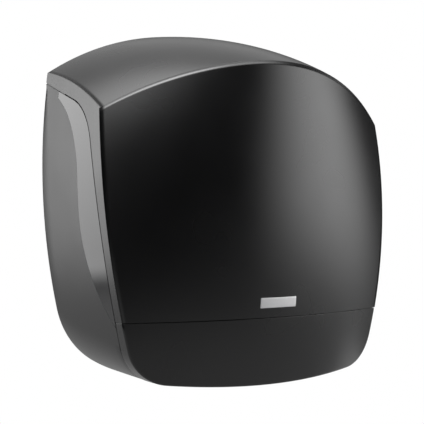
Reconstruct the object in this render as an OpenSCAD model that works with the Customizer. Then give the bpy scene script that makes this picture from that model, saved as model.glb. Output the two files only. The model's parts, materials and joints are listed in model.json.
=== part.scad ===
// Wall-mounted dispenser for one jumbo roll of toilet paper.
// Frame: the wall is the plane y = 0, the front faces -y, z is up, and the origin is the
// centre of the four wall holes, at mid-height. Millimetres.

/* [Body] */
// Widest width, seen from the front
body_w = 296; // [284:1:316]
// Height on the wall
body_h = 310; // [302:1:330]
// Depth from the wall to the fullest point of the front
body_d = 152; // [148:1:164]
// Moulded wall thickness of the shells
wall = 2.5; // [2:0.1:3]
// Height of the widest level above mid-height
widest_z = 30; // [20:1:40]
// Radius of the bowed sides
side_bow_r = 570; // [480:10:800]
// Radius of the two lower corners at the front edge
corner_r = 38; // [34:1:44]
// Radius of the two lower corners at the wall
corner_back_r = 75; // [66:1:80]
// Radius of the bowed lower edge
bottom_bow_r = 820; // [700:10:1200]

/* [Front] */
// Height of the fullest level of the front above mid-height
front_full_z = 47; // [35:1:55]
// Radius of the front from top to bottom
front_bow_r = 1075; // [900:5:1300]
// Distance behind the wall, at mid-height, of the axis that the front is turned about
front_axis_y = 140; // [125:1:150]
// Lean of that axis from upright, in degrees
front_axis_lean = 46.7; // [44:0.1:49]

/* [Top] */
// Downward slope of the top where it leaves the wall, in degrees
top_wall_slope = 6.3; // [4:0.1:8]
// Radius of the top from the wall to the front
top_bow_r = 520; // [450:5:650]
// Depth below mid-height, at the wall, of the axis that the top is turned about
top_axis_drop = 85; // [78:1:92]
// Rise of that axis towards the front, in degrees
top_axis_rise = 23.9; // [21:0.1:26]

/* [Seams] */
// Open gap between the door and the housing
seam_gap = 1.0; // [0.9:0.1:1.4]
// Open gap between the cover and the lower panel
panel_gap = 0.5; // [0.3:0.1:1]
// Depth of the side seam at its foremost level
seam_y = 105; // [102:1:108]
// Height of that level, below mid-height
seam_low = 75; // [65:1:85]
// Radius of the side seam's long lower run
seam_bow_r = 500; // [420:10:650]
// Height of the side seam at the wall
seam_wall_z = 102.7; // [98:0.1:106]
// Forward fall of the seam's upper run, in degrees
seam_fall = 19; // [16:0.5:22]
// Radius of the bend between the two runs
seam_bend_r = 50; // [40:1:60]
// Height of the panel seam, below mid-height
panel_seam = 98; // [90:1:104]

/* [Windows] */
// Thickness of the smoked window
window_t = 1.6; // [1.2:0.1:1.9]
// Depth of the window's rear edge where it is upright
window_rear_y = 67; // [62:1:74]
// Radius of the rear edge's upper bend
window_top_r = 76; // [70:1:84]
// Height where the upper bend begins
window_top_z = 20; // [10:1:30]
// Radius of the rear edge's lower sweep
window_low_r = 135; // [115:1:155]
// Drop below mid-height where the lower sweep begins
window_low_drop = 10; // [0:1:20]
// Depth of the window's upper tip
window_tip_y = 27; // [22:1:34]
// Width of the ledge that carries the window
ledge = 3; // [2:0.5:5]
// Clearance round the window
window_fit = 0.1; // [0.05:0.05:0.3]

/* [Wall mount] */
// Distance between the wall holes from side to side
mount_w = 200; // [180:1:210]
// Distance between the wall holes up and down
mount_h = 160; // [140:1:170]
// Diameter of the wall holes
mount_d = 5.5; // [4.5:0.1:6.5]
// Thickness of the back plate
plate_t = 3; // [2.5:0.1:4]
// Height of the raised pads round the wall holes
pad_h = 3; // [2:0.1:5]
// Room between the back plate's upper edge and the cover
plate_room = 1.2; // [0.8:0.1:2]

/* [Roll spindle] */
// Height of the spindle above mid-height
spindle_z = 8; // [0:1:14]
// Diameter of the spindle axle
axle_d = 10; // [8:0.5:12]
// Length of the axle in front of the back plate
axle_l = 109; // [104:1:112]
// Diameter of the spindle plate
spindle_plate_d = 64; // [60:1:76]
// Thickness of the spindle plate
spindle_plate_t = 2.5; // [2:0.1:3.5]
// Pitch circle diameter of the spindle plate's screws
spindle_pcd = 48; // [44:1:54]
// Diameter of the axle's rear shoulder
shoulder_d = 18; // [16:0.5:22]
// Width of the axle's rear shoulder
shoulder_t = 3; // [2:0.5:5]
// Outside diameter of the hub, inside a 60 mm core
hub_d = 55; // [50:1:58]
// Length of the hub
hub_l = 90; // [84:1:92]
// Wall of the hub and of its webs
hub_t = 2.2; // [1.8:0.1:3]
// Diameter of the hub's rear flange
hub_flange_d = 84; // [76:1:100]
// Number of webs in the hub
hub_webs = 6; // [4:1:8]
// Outside diameter of the two hub bushes
bush_d = 16; // [14:0.5:18]
// Length of each bush
bush_l = 12; // [8:0.5:16]
// Free height of the drag washer that stops the roll overrunning
drag_t = 1.2; // [0.8:0.1:2]
// Running clearance on radii
run_fit = 0.05; // [0.03:0.01:0.09]
// Clearance between flat faces that rub
face_fit = 0.3; // [0.2:0.05:0.5]

/* [Door hinge] */
// Depth of the hinge axis
hinge_y = 66; // [62:1:70]
// Drop of the hinge axis below mid-height
hinge_drop = 140; // [136:1:142]
// Diameter of the hinge pins
hinge_pin_d = 4; // [3:0.5:5]
// Distance from the middle to the inner face of a hinge arm
arm_x = 50; // [46:1:54]
// Thickness of a hinge arm
arm_t = 5; // [4:0.5:6]
// Outside radius of a hinge eye and of its boss
eye_r = 5.5; // [5:0.1:6]

/* [Paper exit] */
// Distance from the middle to a guide rail
rail_x = 66; // [63:1:70]
// Thickness of a guide rail
rail_t = 3; // [2.5:0.1:4]
// Height of the rails' upper edge, below mid-height
rail_top = 128; // [124:1:132]
// Depth where the exit begins
exit_y = 12; // [8:1:20]
// Thickness of a tear bar
bar_t = 1.2; // [0.8:0.1:1.5]
// How far the tear bars are let into the underside
bar_rise = 1.7; // [1.5:0.1:2]
// Length of a tear bar
bar_l = 74; // [60:1:76]
// Width of a tear bar from its back edge to the root of its teeth
bar_w = 18; // [16:1:20]
// Spacing of the teeth
tooth_pitch = 3; // [2:0.25:5]
// Depth of the teeth
tooth_h = 3; // [2:0.25:4]
// Thickness of the foot that the tear bar is screwed to
foot_t = 4; // [3.5:0.1:5]

/* [Lock] */
// Depth of the lock
lock_y = 38; // [34:1:42]
// Height of the lock above mid-height
lock_z = 58; // [54:1:62]
// Diameter of the lock sleeve
lock_d = 15; // [14:0.5:16]
// Diameter of the turning barrel
barrel_d = 10.5; // [9:0.5:11]
// Diameter of the lock's outer rim
lock_rim_d = 20; // [18:0.5:22]
// Thickness of the lock's outer rim
lock_rim_t = 1.2; // [0.8:0.1:1.6]
// Length of the sleeve from the rim inwards
sleeve_l = 17; // [15:0.5:20]
// Reach of the cam from the lock's axis
cam_l = 18; // [16:0.5:20]
// Thickness of the cam and of its keeper
cam_t = 2; // [1.5:0.1:2.5]
// Width of the cam
cam_w = 8; // [7:0.5:9]
// Gap between the locked cam and the keeper
cam_gap = 0.5; // [0.3:0.1:1]

/* [Badge plate] */
// Width of the bare badge plate
badge_w = 37; // [30:0.5:46]
// Height of the badge plate
badge_h = 8.5; // [6:0.5:12]
// Drop of the badge's middle below mid-height
badge_drop = 85.3; // [80:0.1:91]
// How far the badge is let into the cover
badge_let = 0.5; // [0.3:0.1:0.8]
// How far the badge stands proud
badge_proud = 0.3; // [0.1:0.1:0.6]
// Clearance round the badge
badge_fit = 0.1; // [0.05:0.05:0.2]

/* [Screws] */
// Thread diameter of the screws
screw_d = 3; // [2.5:0.1:3.5]
// Head diameter of the screws
screw_head_d = 5.6; // [5:0.1:6.5]
// Head height of the screws
screw_head_h = 1.8; // [1.5:0.1:2.4]
// Radial clearance of the screws in their holes
screw_fit = 0.05; // [0.03:0.01:0.1]
// Width of the flanges that join the cover to the lower panel
flange_w = 11; // [10:0.5:14]
// Thickness of those flanges
flange_t = 3; // [2.5:0.1:4]

/* [Hidden] */
$fn = 96;
arc_fn = 360;
cut = 1;
reach = 2 * body_h;
half_w = body_w / 2;
top_z = body_h / 2;
low_z = -body_h / 2;

// Outline seen from the front: two bowed sides and a bowed lower edge
side_cx = half_w - side_bow_r;
bottom_cz = low_z + bottom_bow_r;
function side_x(z) = side_cx + sqrt(side_bow_r ^ 2 - (z - widest_z) ^ 2);
function bottom_z(x) = bottom_cz - sqrt(bottom_bow_r ^ 2 - x ^ 2);
side_c = [side_cx, widest_z];
bottom_c = [0, bottom_cz];
corner_mid_r = (corner_r + corner_back_r) / 2;
corner_ra = side_bow_r - corner_mid_r;
corner_rb = bottom_bow_r - corner_mid_r;
corner_span = norm(bottom_c - side_c);
corner_along = (corner_ra ^ 2 - corner_rb ^ 2 + corner_span ^ 2) / (2 * corner_span);
corner_dir = (bottom_c - side_c) / corner_span;
corner_c = side_c + corner_along * corner_dir
    + sqrt(corner_ra ^ 2 - corner_along ^ 2) * [corner_dir[1], -corner_dir[0]];
corner_out_a = (corner_c - side_c) / corner_ra;
corner_out_b = (corner_c - bottom_c) / corner_rb;
corner_turn = acos(corner_out_a * corner_out_b) / 2;
corner_out = (corner_out_a + corner_out_b) / norm(corner_out_a + corner_out_b);
corner_edge = corner_c + corner_mid_r / cos(corner_turn) * corner_out;

// Front: an arc in the middle plane, turned about a leaning axis
front_arc_y = front_bow_r - body_d - front_axis_y;
front_arc_r = -(front_arc_y * cos(front_axis_lean) + front_full_z * sin(front_axis_lean));
front_arc_t = front_full_z * cos(front_axis_lean) - front_arc_y * sin(front_axis_lean);
function front_miss(x, y, z) =
    let (t = z * cos(front_axis_lean) - (y - front_axis_y) * sin(front_axis_lean))
    let (n = (y - front_axis_y) * cos(front_axis_lean) + z * sin(front_axis_lean))
    norm([n, x]) - front_arc_r - sqrt(front_bow_r ^ 2 - (t - front_arc_t) ^ 2);
// Depth of the front at a point of its outline, by Newton's steps from the fullest depth
function front_y(x, z, y = -body_d, steps = 8) =
    steps == 0 ? y
    : let (m = front_miss(x, y, z), slope = (front_miss(x, y + 0.01, z) - m) / 0.01)
      front_y(x, z, y - m / slope, steps - 1);

// Lower corners: cones that touch a side and the lower edge and widen towards the wall.
// A cone's tip lies on the unrounded corner's edge, in front of the part.
corner_front = corner_c + corner_mid_r * corner_out;
corner_grow = (corner_back_r - corner_r) / -front_y(corner_front[0], corner_front[1]);
corner_tip = corner_back_r / corner_grow;
corner_lean = atan(corner_grow / cos(corner_turn));
corner_half = asin(sin(corner_lean) * cos(corner_turn));
corner_face = atan(tan(corner_lean) * sin(corner_turn) ^ 2);

// Top: an arc in the middle plane, turned about an axis that rises to the front
top_arc_y = top_bow_r * sin(top_wall_slope);
top_arc_z = top_z - top_bow_r * cos(top_wall_slope) + top_axis_drop;
top_arc_r = top_arc_y * sin(top_axis_rise) + top_arc_z * cos(top_axis_rise);
top_arc_t = top_arc_z * sin(top_axis_rise) - top_arc_y * cos(top_axis_rise);

// Side seam, in the (y, z) plane: a falling line, a bend and a long bow
seam_dir = [-cos(seam_fall), -sin(seam_fall)];
seam_down = [sin(seam_fall), -cos(seam_fall)];
seam_bow_c = [seam_bow_r - seam_y, -seam_low];
seam_off = [0, seam_wall_z] + seam_bend_r * seam_down - seam_bow_c;
seam_run = -(seam_off * seam_dir)
    + sqrt((seam_off * seam_dir) ^ 2 - seam_off * seam_off + (seam_bow_r - seam_bend_r) ^ 2);
seam_bend_c = seam_bow_c + seam_off + seam_run * seam_dir;
seam_turn = atan2(seam_bend_c[1] - seam_bow_c[1], seam_bend_c[0] - seam_bow_c[0]);
seam_end = 180 - asin((low_z - cut - seam_bow_c[1]) / seam_bow_r);
arc_steps = 12;
function arc(c, r, a0, a1) =
    [for (i = [0:arc_steps]) let (a = a0 + (a1 - a0) * i / arc_steps) c + r * [cos(a), sin(a)]];

// Small sizes that one or two pieces use
corner_ease = 0.1;
foot_edge = 3;
bar_inset = 4;
bar_screws = 3;
screw_past = 2;
pin_head_t = 1.5;
pin_head_rim = 1.5;
pin_groove = 0.5;
pin_clip_rim = 2;
axle_groove = 1;
axle_clip_rim = 3;
clip_t = 0.8;
clip_grip = 1.2;
pad_rim = 5;
web_short = 8;
lock_pad = 0.6;
lock_boss_rim = 1;
nut_t = 4;
nut_over = 7;
key_slot_w = 1.2;
key_slot_d = 4;
cam_eye_over = 2;
cam_screw_in = 6;
keeper_clear = 3;
keeper_rise = 8;
keeper_past = 4;
keeper_w = 15;
keeper_leg = 18;
keeper_pitch = 8;
panel_boss_h = 4;
panel_boss_edge = 1;
arm_room = 2;
window_low_turn = 75;

// Levels and places that several pieces share
panel_z = -panel_seam;
hinge_z = -hinge_drop;
window_top_c = [window_top_r - window_rear_y, window_top_z];
window_low_c = [-window_rear_y - window_low_r, -window_low_drop];
function window_tip_turn(inset) = acos((window_top_c[0] + window_tip_y + inset) / (window_top_r + inset));
rail_top_z = -rail_top;
badge_z = -badge_drop;
screw_r = screw_d / 2;
screw_hole_r = screw_r + screw_fit;
screw_head_r = screw_head_d / 2;
foot_z = bottom_z(rail_x + bar_w) + bar_t + bar_rise;
foot_w = bar_w + foot_edge;
bar_front = exit_y + bar_inset;
bar_screw_y = [for (i = [0:bar_screws - 1]) -bar_front - bar_l * (i + 0.5) / bar_screws];
bar_screw_x = rail_x + (rail_t + foot_w) / 2;
bar_screw_l = foot_t + bar_t + screw_past;
pin_r = hinge_pin_d / 2;
boss_end = arm_x + arm_t + face_fit;
pin_tip = arm_x - 2 * clip_t - face_fit;
axle_r = axle_d / 2;
spindle_front = plate_t + spindle_plate_t;
shoulder_front = spindle_front + shoulder_t;
drag_front = shoulder_front + drag_t;
hub_back = drag_front + face_fit;
hub_front = hub_back + hub_l;
axle_front = plate_t + axle_l;
clip_y = hub_front + face_fit;
spindle_screw_l = 7;
lock_face = side_x(lock_z) + lock_pad;
lock_boss_r = lock_rim_d / 2 + lock_boss_rim;
sleeve_in = lock_face - sleeve_l;
nut_out = side_x(lock_z) - wall - lock_pad;
cam_x = sleeve_in - face_fit;
cam_in = cam_x - cam_t;
keeper_y = -lock_y + cam_w / 2 + cam_gap;
keeper_low = lock_z + cam_w / 2 + keeper_clear;
keeper_seat = lock_z + cam_l + keeper_rise;
keeper_x = cam_in - keeper_past;
keeper_screw_y = [for (s = [1, -1]) keeper_y - keeper_leg / 2 + s * keeper_pitch / 2];
keeper_screw_l = 9;
flange_screw_x = [40, 92];
flange_mid = wall + flange_w / 2;
panel_screw_l = 2 * flange_t + panel_gap + panel_boss_h;

// Body outline without its round corners, drawn in from the outside by inset
module outline(inset) intersection() {
    translate([side_cx, widest_z]) circle(side_bow_r - inset, $fn = arc_fn);
    translate([-side_cx, widest_z]) circle(side_bow_r - inset, $fn = arc_fn);
    translate(bottom_c) circle(bottom_bow_r - inset, $fn = arc_fn);
    translate([-half_w, low_z]) square([body_w, body_h + cut]);
}

// Along a corner's cone, from its tip when it is drawn in by inset
module corner_axis(inset)
    translate([corner_edge[0], -corner_tip, corner_edge[1]]) rotate([-90, 0, 0])
        rotate([0, 0, atan2(corner_out[1], -corner_out[0])]) rotate([0, corner_lean, 0])
            translate([0, 0, inset / sin(corner_half)]) children();

// What is cut off a lower corner to round it; the cone is eased so that it crosses its neighbours
module corner_waste(inset) difference() {
    corner_axis(inset) rotate([0, corner_face - corner_lean, 0])
        translate([-reach, -reach, 0]) cube([reach, 2 * reach, 2 * reach]);
    corner_axis(inset - corner_ease) cylinder(r1 = 0, r2 = reach * tan(corner_half), h = reach);
}

module front_form(inset)
    translate([0, front_axis_y, 0]) rotate([front_axis_lean, 0, 0])
        rotate_extrude($fn = arc_fn) intersection() {
            translate([front_arc_r, front_arc_t]) circle(front_bow_r - inset, $fn = 2 * arc_fn);
            translate([0, -body_h / 3]) square([reach, 2 * body_h]);
        }

module top_form(inset)
    translate([0, 0, -top_axis_drop]) rotate([90 - top_axis_rise, 0, 0])
        rotate_extrude($fn = arc_fn) intersection() {
            translate([top_arc_r, top_arc_t]) circle(top_bow_r - inset, $fn = 2 * arc_fn);
            translate([0, -body_h / 2]) square([reach, 2 * body_h]);
        }

// The outline carried from y = back to the front, with its lower corners rounded
module prism(inset, back = 0) difference() {
    translate([0, back, 0]) rotate([90, 0, 0]) linear_extrude(body_d + cut + back) outline(inset);
    for (s = [0, 1]) mirror([s, 0, 0]) corner_waste(inset);
}

// The whole outer form, drawn in by inset; its back lies at y = back
module form(inset, back = 0) intersection() {
    prism(inset, back);
    front_form(inset);
    top_form(inset);
}

module skin() difference() {
    form(0);
    form(wall, cut);
}

// A (y, z) profile carried along x from x0 to x1
module along_x(x0, x1) translate([x0, 0, 0]) rotate([90, 0, 90]) linear_extrude(x1 - x0) children();

// The housing's side of the seam, drawn back by shift
module housing_profile(shift) polygon(concat(
    [[cut, low_z - cut], [cut, seam_wall_z + cut * tan(seam_fall) - shift / cos(seam_fall)]],
    arc(seam_bend_c, seam_bend_r - shift, 90 + seam_fall, seam_turn),
    arc(seam_bow_c, seam_bow_r - shift, seam_turn, seam_end)));

module housing_side(shift = seam_gap / 2) along_x(-body_w, body_w) housing_profile(shift);

module door_side() difference() {
    translate([-body_w, -2 * body_d, -body_h]) cube([2 * body_w, 2 * body_d, 2 * body_h]);
    housing_side(-seam_gap / 2);
}

// The window's shape from the side, drawn in by inset
module window_profile(inset) intersection() {
    housing_profile(seam_gap / 2 + inset);
    polygon(concat(
        [[-body_d, top_z], [-window_tip_y - inset, top_z]],
        arc(window_top_c, window_top_r + inset, 180 - window_tip_turn(inset), 180),
        arc(window_low_c, window_low_r - inset, 0, -window_low_turn)));
}

module hinge_rod(x0, x1, r) along_x(x0, x1) translate([-hinge_y, hinge_z]) circle(r);

module lock_rod(x0, x1, r) along_x(x0, x1) translate([-lock_y, lock_z]) circle(r);

module spindle_rod(y0, y1, r)
    translate([0, -y0, spindle_z]) rotate([90, 0, 0]) cylinder(r = r, h = y1 - y0);

// A screw with its head's seat at the origin, its thread along -z
module screw(length) {
    cylinder(r = screw_head_r, h = screw_head_h);
    translate([0, 0, -length]) cylinder(r = screw_r, h = length);
}

module spindle_ring()
    for (a = [45:90:315])
        translate([spindle_pcd / 2 * cos(a), -spindle_front, spindle_z + spindle_pcd / 2 * sin(a)])
            rotate([90, 0, 0]) children();

module mount_ring()
    for (x = [-1, 1], z = [-1, 1])
        translate([x * mount_w / 2, 0, z * mount_h / 2]) rotate([90, 0, 0]) children();

module bar_places()
    for (y = bar_screw_y) translate([bar_screw_x, y, foot_z - bar_t]) children();

module panel_places()
    for (x = flange_screw_x, s = [-1, 1])
        translate([s * x, front_y(x, panel_z) + flange_mid, panel_z]) children();

module keeper_places()
    for (y = keeper_screw_y) translate([keeper_x + keeper_w / 2, y, keeper_seat - cam_t]) children();

module plate_slab()
    translate([-body_w, -plate_t, -body_h]) cube([2 * body_w, plate_t + cut, 2 * body_h]);

// The back plate fills the housing and rises inside the cover to its top
module back_plate() {
    intersection() {
        prism(0);
        housing_side();
        plate_slab();
    }
    intersection() {
        prism(wall + plate_room);
        top_form(wall + plate_room);
        plate_slab();
    }
}

module guide_rail() intersection() {
    prism(wall / 2);
    housing_side();
    union() {
        translate([rail_x, -body_d, low_z]) cube([rail_t, body_d, rail_top_z - low_z]);
        translate([rail_x, -bar_front - bar_l - foot_edge, low_z])
            cube([foot_w, bar_l + 2 * foot_edge, foot_z + foot_t - low_z]);
    }
}

module exit_cuts() {
    translate([-rail_x, -2 * body_d, low_z - cut])
        cube([2 * rail_x, 2 * body_d - exit_y, rail_top_z - low_z + cut]);
    for (s = [0, 1]) mirror([s, 0, 0]) {
        translate([rail_x - cut, -bar_front - bar_l - face_fit, low_z - cut])
            cube([bar_w + face_fit + cut, bar_l + 2 * face_fit, foot_z - low_z + cut]);
        bar_places() translate([0, 0, -cut]) cylinder(r = screw_hole_r, h = bar_screw_l + 2 * cut);
        hinge_rod(0, rail_x + rail_t + cut, pin_r + run_fit);
    }
}

module rear_housing() color("dimgray") difference() {
    union() {
        difference() {
            intersection() {
                prism(0);
                housing_side();
            }
            prism(wall, cut);
            for (s = [0, 1]) mirror([s, 0, 0]) {
                along_x(0, body_w) window_profile(ledge);
                difference() {
                    along_x(0, body_w) window_profile(0);
                    prism(window_t + window_fit, cut);
                }
            }
        }
        back_plate();
        for (s = [0, 1]) mirror([s, 0, 0]) {
            guide_rail();
            hinge_rod(boss_end, rail_x + rail_t / 2, eye_r);
        }
        mount_ring() cylinder(r = mount_d / 2 + pad_rim, h = plate_t + pad_h);
        lock_rod(nut_out, lock_face, lock_boss_r);
    }
    exit_cuts();
    mount_ring() translate([0, 0, -cut]) cylinder(r = mount_d / 2, h = plate_t + pad_h + 2 * cut);
    lock_rod(0, body_w, lock_d / 2 + run_fit);
    spindle_ring() translate([0, 0, -spindle_front - cut]) cylinder(r = screw_hole_r, h = body_d);
    spindle_rod(-cut, spindle_front, axle_r + run_fit);
}

module window() difference() {
    intersection() {
        prism(0);
        along_x(0, body_w) window_profile(window_fit);
    }
    prism(window_t, cut);
}

module window_right() color([0.3, 0.3, 0.31, 0.8]) window();

module window_left() color([0.3, 0.3, 0.31, 0.8]) mirror([1, 0, 0]) window();

module spindle_plate() color("silver") difference() {
    spindle_rod(plate_t, spindle_front, spindle_plate_d / 2);
    spindle_rod(plate_t - cut, spindle_front + cut, axle_r + run_fit);
    spindle_ring() translate([0, 0, -spindle_plate_t - cut])
        cylinder(r = screw_hole_r, h = spindle_plate_t + 2 * cut);
}

module spindle_axle() color("silver") difference() {
    union() {
        spindle_rod(0, axle_front, axle_r);
        spindle_rod(spindle_front, shoulder_front, shoulder_d / 2);
    }
    difference() {
        spindle_rod(clip_y, clip_y + clip_t + face_fit, axle_d);
        spindle_rod(clip_y - cut, clip_y + clip_t + cut, axle_r - axle_groove);
    }
}

module spindle_screws() color("gainsboro") spindle_ring() screw(spindle_screw_l - spindle_plate_t);

module drag_washer() color("silver") difference() {
    spindle_rod(shoulder_front, drag_front, shoulder_d / 2);
    spindle_rod(shoulder_front - cut, drag_front + cut, axle_r + run_fit);
}

module hub_clip() color("silver") difference() {
    mouth = axle_r - clip_grip * axle_groove;
    spindle_rod(clip_y, clip_y + clip_t, axle_r + axle_clip_rim);
    spindle_rod(clip_y - cut, clip_y + clip_t + cut, axle_r - axle_groove + run_fit);
    translate([-mouth, -clip_y - clip_t - cut, spindle_z - axle_d])
        cube([2 * mouth, clip_t + 2 * cut, axle_d]);
}

module roll_hub() color("slategray") difference() {
    union() {
        difference() {
            union() {
                spindle_rod(hub_back, hub_front, hub_d / 2);
                spindle_rod(hub_back, hub_back + hub_t, hub_flange_d / 2);
            }
            spindle_rod(hub_back + hub_t, hub_front + cut, hub_d / 2 - hub_t);
        }
        spindle_rod(hub_back, hub_front, bush_d / 2 + hub_t);
        for (i = [0:hub_webs - 1])
            translate([0, -hub_back, spindle_z]) rotate([90, i * 360 / hub_webs, 0])
                translate([bush_d / 2 + run_fit, -hub_t / 2, 0])
                    cube([hub_d / 2 - hub_t / 2 - bush_d / 2, hub_t, hub_l - web_short]);
    }
    spindle_rod(hub_back - cut, hub_front + cut, bush_d / 2 + run_fit / 2);
}

module hub_bush(y0) color("ivory") difference() {
    spindle_rod(y0, y0 + bush_l, bush_d / 2);
    spindle_rod(y0 - cut, y0 + bush_l + cut, axle_r + run_fit);
}

module hub_bush_rear() hub_bush(hub_back);

module hub_bush_front() hub_bush(hub_front - bush_l);

// Flat steel strip with a row of teeth towards the paper
module tear_bar() {
    teeth = floor(bar_l / tooth_pitch);
    difference() {
        translate([rail_x, -bar_front, foot_z - bar_t]) rotate([0, 0, -90]) linear_extrude(bar_t)
            polygon(concat([[0, bar_w], [0, 0]],
                [for (i = [0:teeth - 1], k = [0, 1])
                    [(i + (k + 1) / 2) * tooth_pitch, k == 0 ? -tooth_h : 0]],
                [[bar_l, 0], [bar_l, bar_w]]));
        bar_places() translate([0, 0, -cut]) cylinder(r = screw_hole_r, h = bar_t + 2 * cut);
    }
}

module tear_bar_right() color("silver") tear_bar();

module tear_bar_left() color("silver") mirror([1, 0, 0]) tear_bar();

module tear_bar_screws() color("gainsboro")
    for (s = [0, 1]) mirror([s, 0, 0]) bar_places() mirror([0, 0, 1]) screw(bar_screw_l);

module hinge_pin() difference() {
    union() {
        hinge_rod(pin_tip, rail_x + rail_t, pin_r);
        hinge_rod(rail_x + rail_t, rail_x + rail_t + pin_head_t, pin_r + pin_head_rim);
    }
    difference() {
        hinge_rod(arm_x - clip_t - face_fit, arm_x - face_fit, hinge_pin_d);
        hinge_rod(pin_tip - cut, arm_x, pin_r - pin_groove);
    }
}

module hinge_pin_right() color("silver") hinge_pin();

module hinge_pin_left() color("silver") mirror([1, 0, 0]) hinge_pin();

module hinge_clips() color("silver")
    for (s = [0, 1]) mirror([s, 0, 0]) difference() {
        mouth = pin_r - clip_grip * pin_groove;
        hinge_rod(arm_x - clip_t - face_fit, arm_x - face_fit, pin_r + pin_clip_rim);
        hinge_rod(pin_tip - cut, arm_x, pin_r - pin_groove + run_fit);
        translate([pin_tip - cut, -hinge_y - mouth, hinge_z - 2 * hinge_pin_d])
            cube([arm_x, 2 * mouth, 2 * hinge_pin_d]);
    }

module lock_sleeve() color("silver") difference() {
    union() {
        lock_rod(sleeve_in, lock_face, lock_d / 2);
        lock_rod(lock_face, lock_face + lock_rim_t, lock_rim_d / 2);
    }
    lock_rod(0, body_w, barrel_d / 2 + run_fit);
}

module lock_nut() color("silver") difference() {
    along_x(nut_out - nut_t, nut_out) translate([-lock_y, lock_z]) circle(d = lock_d + nut_over, $fn = 6);
    lock_rod(0, body_w, lock_d / 2 + run_fit);
}

module lock_barrel() color("gainsboro") difference() {
    lock_rod(cam_x, lock_face + lock_rim_t, barrel_d / 2);
    translate([lock_face + lock_rim_t - key_slot_d, -lock_y - key_slot_w / 2, lock_z - barrel_d / 3])
        cube([key_slot_d + cut, key_slot_w, barrel_d * 2 / 3]);
    lock_rod(0, cam_x + cam_screw_in + cut, screw_hole_r);
}

// At rest the cam points forwards, clear of the keeper
module lock_cam() color("silver") along_x(cam_in, cam_x) translate([-lock_y, lock_z]) difference() {
    union() {
        circle(d = cam_w + cam_eye_over);
        translate([-cam_l, -cam_w / 2]) square([cam_l, cam_w]);
    }
    circle(screw_hole_r);
}

module cam_screw() color("gainsboro")
    translate([cam_in, -lock_y, lock_z]) rotate([0, -90, 0]) screw(cam_t + cam_screw_in);

// Flange inside the door, from one level to another
module join_flange(z0, z1) intersection() {
    difference() {
        form(wall / 2);
        form(wall + flange_w, cut);
    }
    door_side();
    translate([-body_w, -2 * body_d, z0]) cube([2 * body_w, 2 * body_d, z1 - z0]);
}

module front_cover() color([0.12, 0.12, 0.12]) difference() {
    union() {
        intersection() {
            skin();
            door_side();
            translate([-body_w, -2 * body_d, panel_z + panel_gap / 2])
                cube([2 * body_w, 2 * body_d, body_h]);
        }
        join_flange(panel_z + panel_gap / 2, panel_z + panel_gap / 2 + flange_t);
        intersection() {
            form(wall / 2);
            translate([keeper_x, keeper_y - keeper_leg, keeper_seat])
                cube([keeper_w, keeper_leg, body_h]);
        }
    }
    panel_places() cylinder(r = screw_hole_r, h = 2 * flange_t);
    keeper_places() cylinder(r = screw_hole_r, h = keeper_screw_l + cut);
    difference() {
        translate([-badge_w / 2 - badge_fit, -2 * body_d, badge_z - badge_h / 2 - badge_fit])
            cube([badge_w + 2 * badge_fit, 2 * body_d, badge_h + 2 * badge_fit]);
        front_form(badge_let);
    }
}

module lower_front_panel() color([0.12, 0.12, 0.12]) difference() {
    union() {
        intersection() {
            skin();
            door_side();
            translate([-body_w, -2 * body_d, -body_h])
                cube([2 * body_w, 2 * body_d, body_h + panel_z - panel_gap / 2]);
        }
        join_flange(panel_z - panel_gap / 2 - flange_t, panel_z - panel_gap / 2);
        panel_places() translate([0, 0, -panel_gap / 2 - flange_t - panel_boss_h])
            cylinder(r = flange_w / 2 - panel_boss_edge, h = flange_t + panel_gap + panel_boss_h);
        for (s = [0, 1]) mirror([s, 0, 0]) intersection() {
            form(wall / 2);
            along_x(arm_x, arm_x + arm_t) {
                translate([-hinge_y, hinge_z]) circle(eye_r);
                polygon([[-hinge_y, hinge_z + eye_r], [-body_d, panel_z - 2 * flange_t],
                    [-body_d, low_z], [-seam_y - arm_room, low_z], [-hinge_y, hinge_z - eye_r]]);
            }
        }
    }
    panel_places() translate([0, 0, -panel_screw_l]) cylinder(r = screw_hole_r, h = 2 * panel_screw_l);
    for (s = [0, 1]) mirror([s, 0, 0]) hinge_rod(0, body_w, pin_r + run_fit);
}

module panel_screws() color("gainsboro")
    panel_places() translate([0, 0, panel_gap / 2 + flange_t]) screw(panel_screw_l);

module badge_plate() color("lightgray") intersection() {
    difference() {
        front_form(-badge_proud);
        front_form(badge_let);
    }
    translate([-badge_w / 2, -2 * body_d, badge_z - badge_h / 2]) cube([badge_w, 2 * body_d, badge_h]);
}

module lock_keeper() color("silver") difference() {
    union() {
        translate([keeper_x, keeper_y - keeper_leg, keeper_seat - cam_t])
            cube([keeper_w, keeper_leg, cam_t]);
        translate([keeper_x, keeper_y, keeper_low]) cube([keeper_w, cam_t, keeper_seat - keeper_low]);
    }
    keeper_places() translate([0, 0, -cut]) cylinder(r = screw_hole_r, h = cam_t + 2 * cut);
}

module keeper_screws() color("gainsboro") keeper_places() mirror([0, 0, 1]) screw(keeper_screw_l);

rear_housing();
window_left();
window_right();
spindle_plate();
spindle_axle();
spindle_screws();
drag_washer();
hub_clip();
tear_bar_left();
tear_bar_right();
tear_bar_screws();
hinge_pin_left();
hinge_pin_right();
hinge_clips();
lock_sleeve();
lock_nut();
roll_hub();
hub_bush_rear();
hub_bush_front();
lock_barrel();
lock_cam();
cam_screw();
front_cover();
lower_front_panel();
panel_screws();
badge_plate();
lock_keeper();
keeper_screws();
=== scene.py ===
import json
import math

import bmesh
import bpy
import numpy as np
from mathutils import Matrix, Vector


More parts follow.
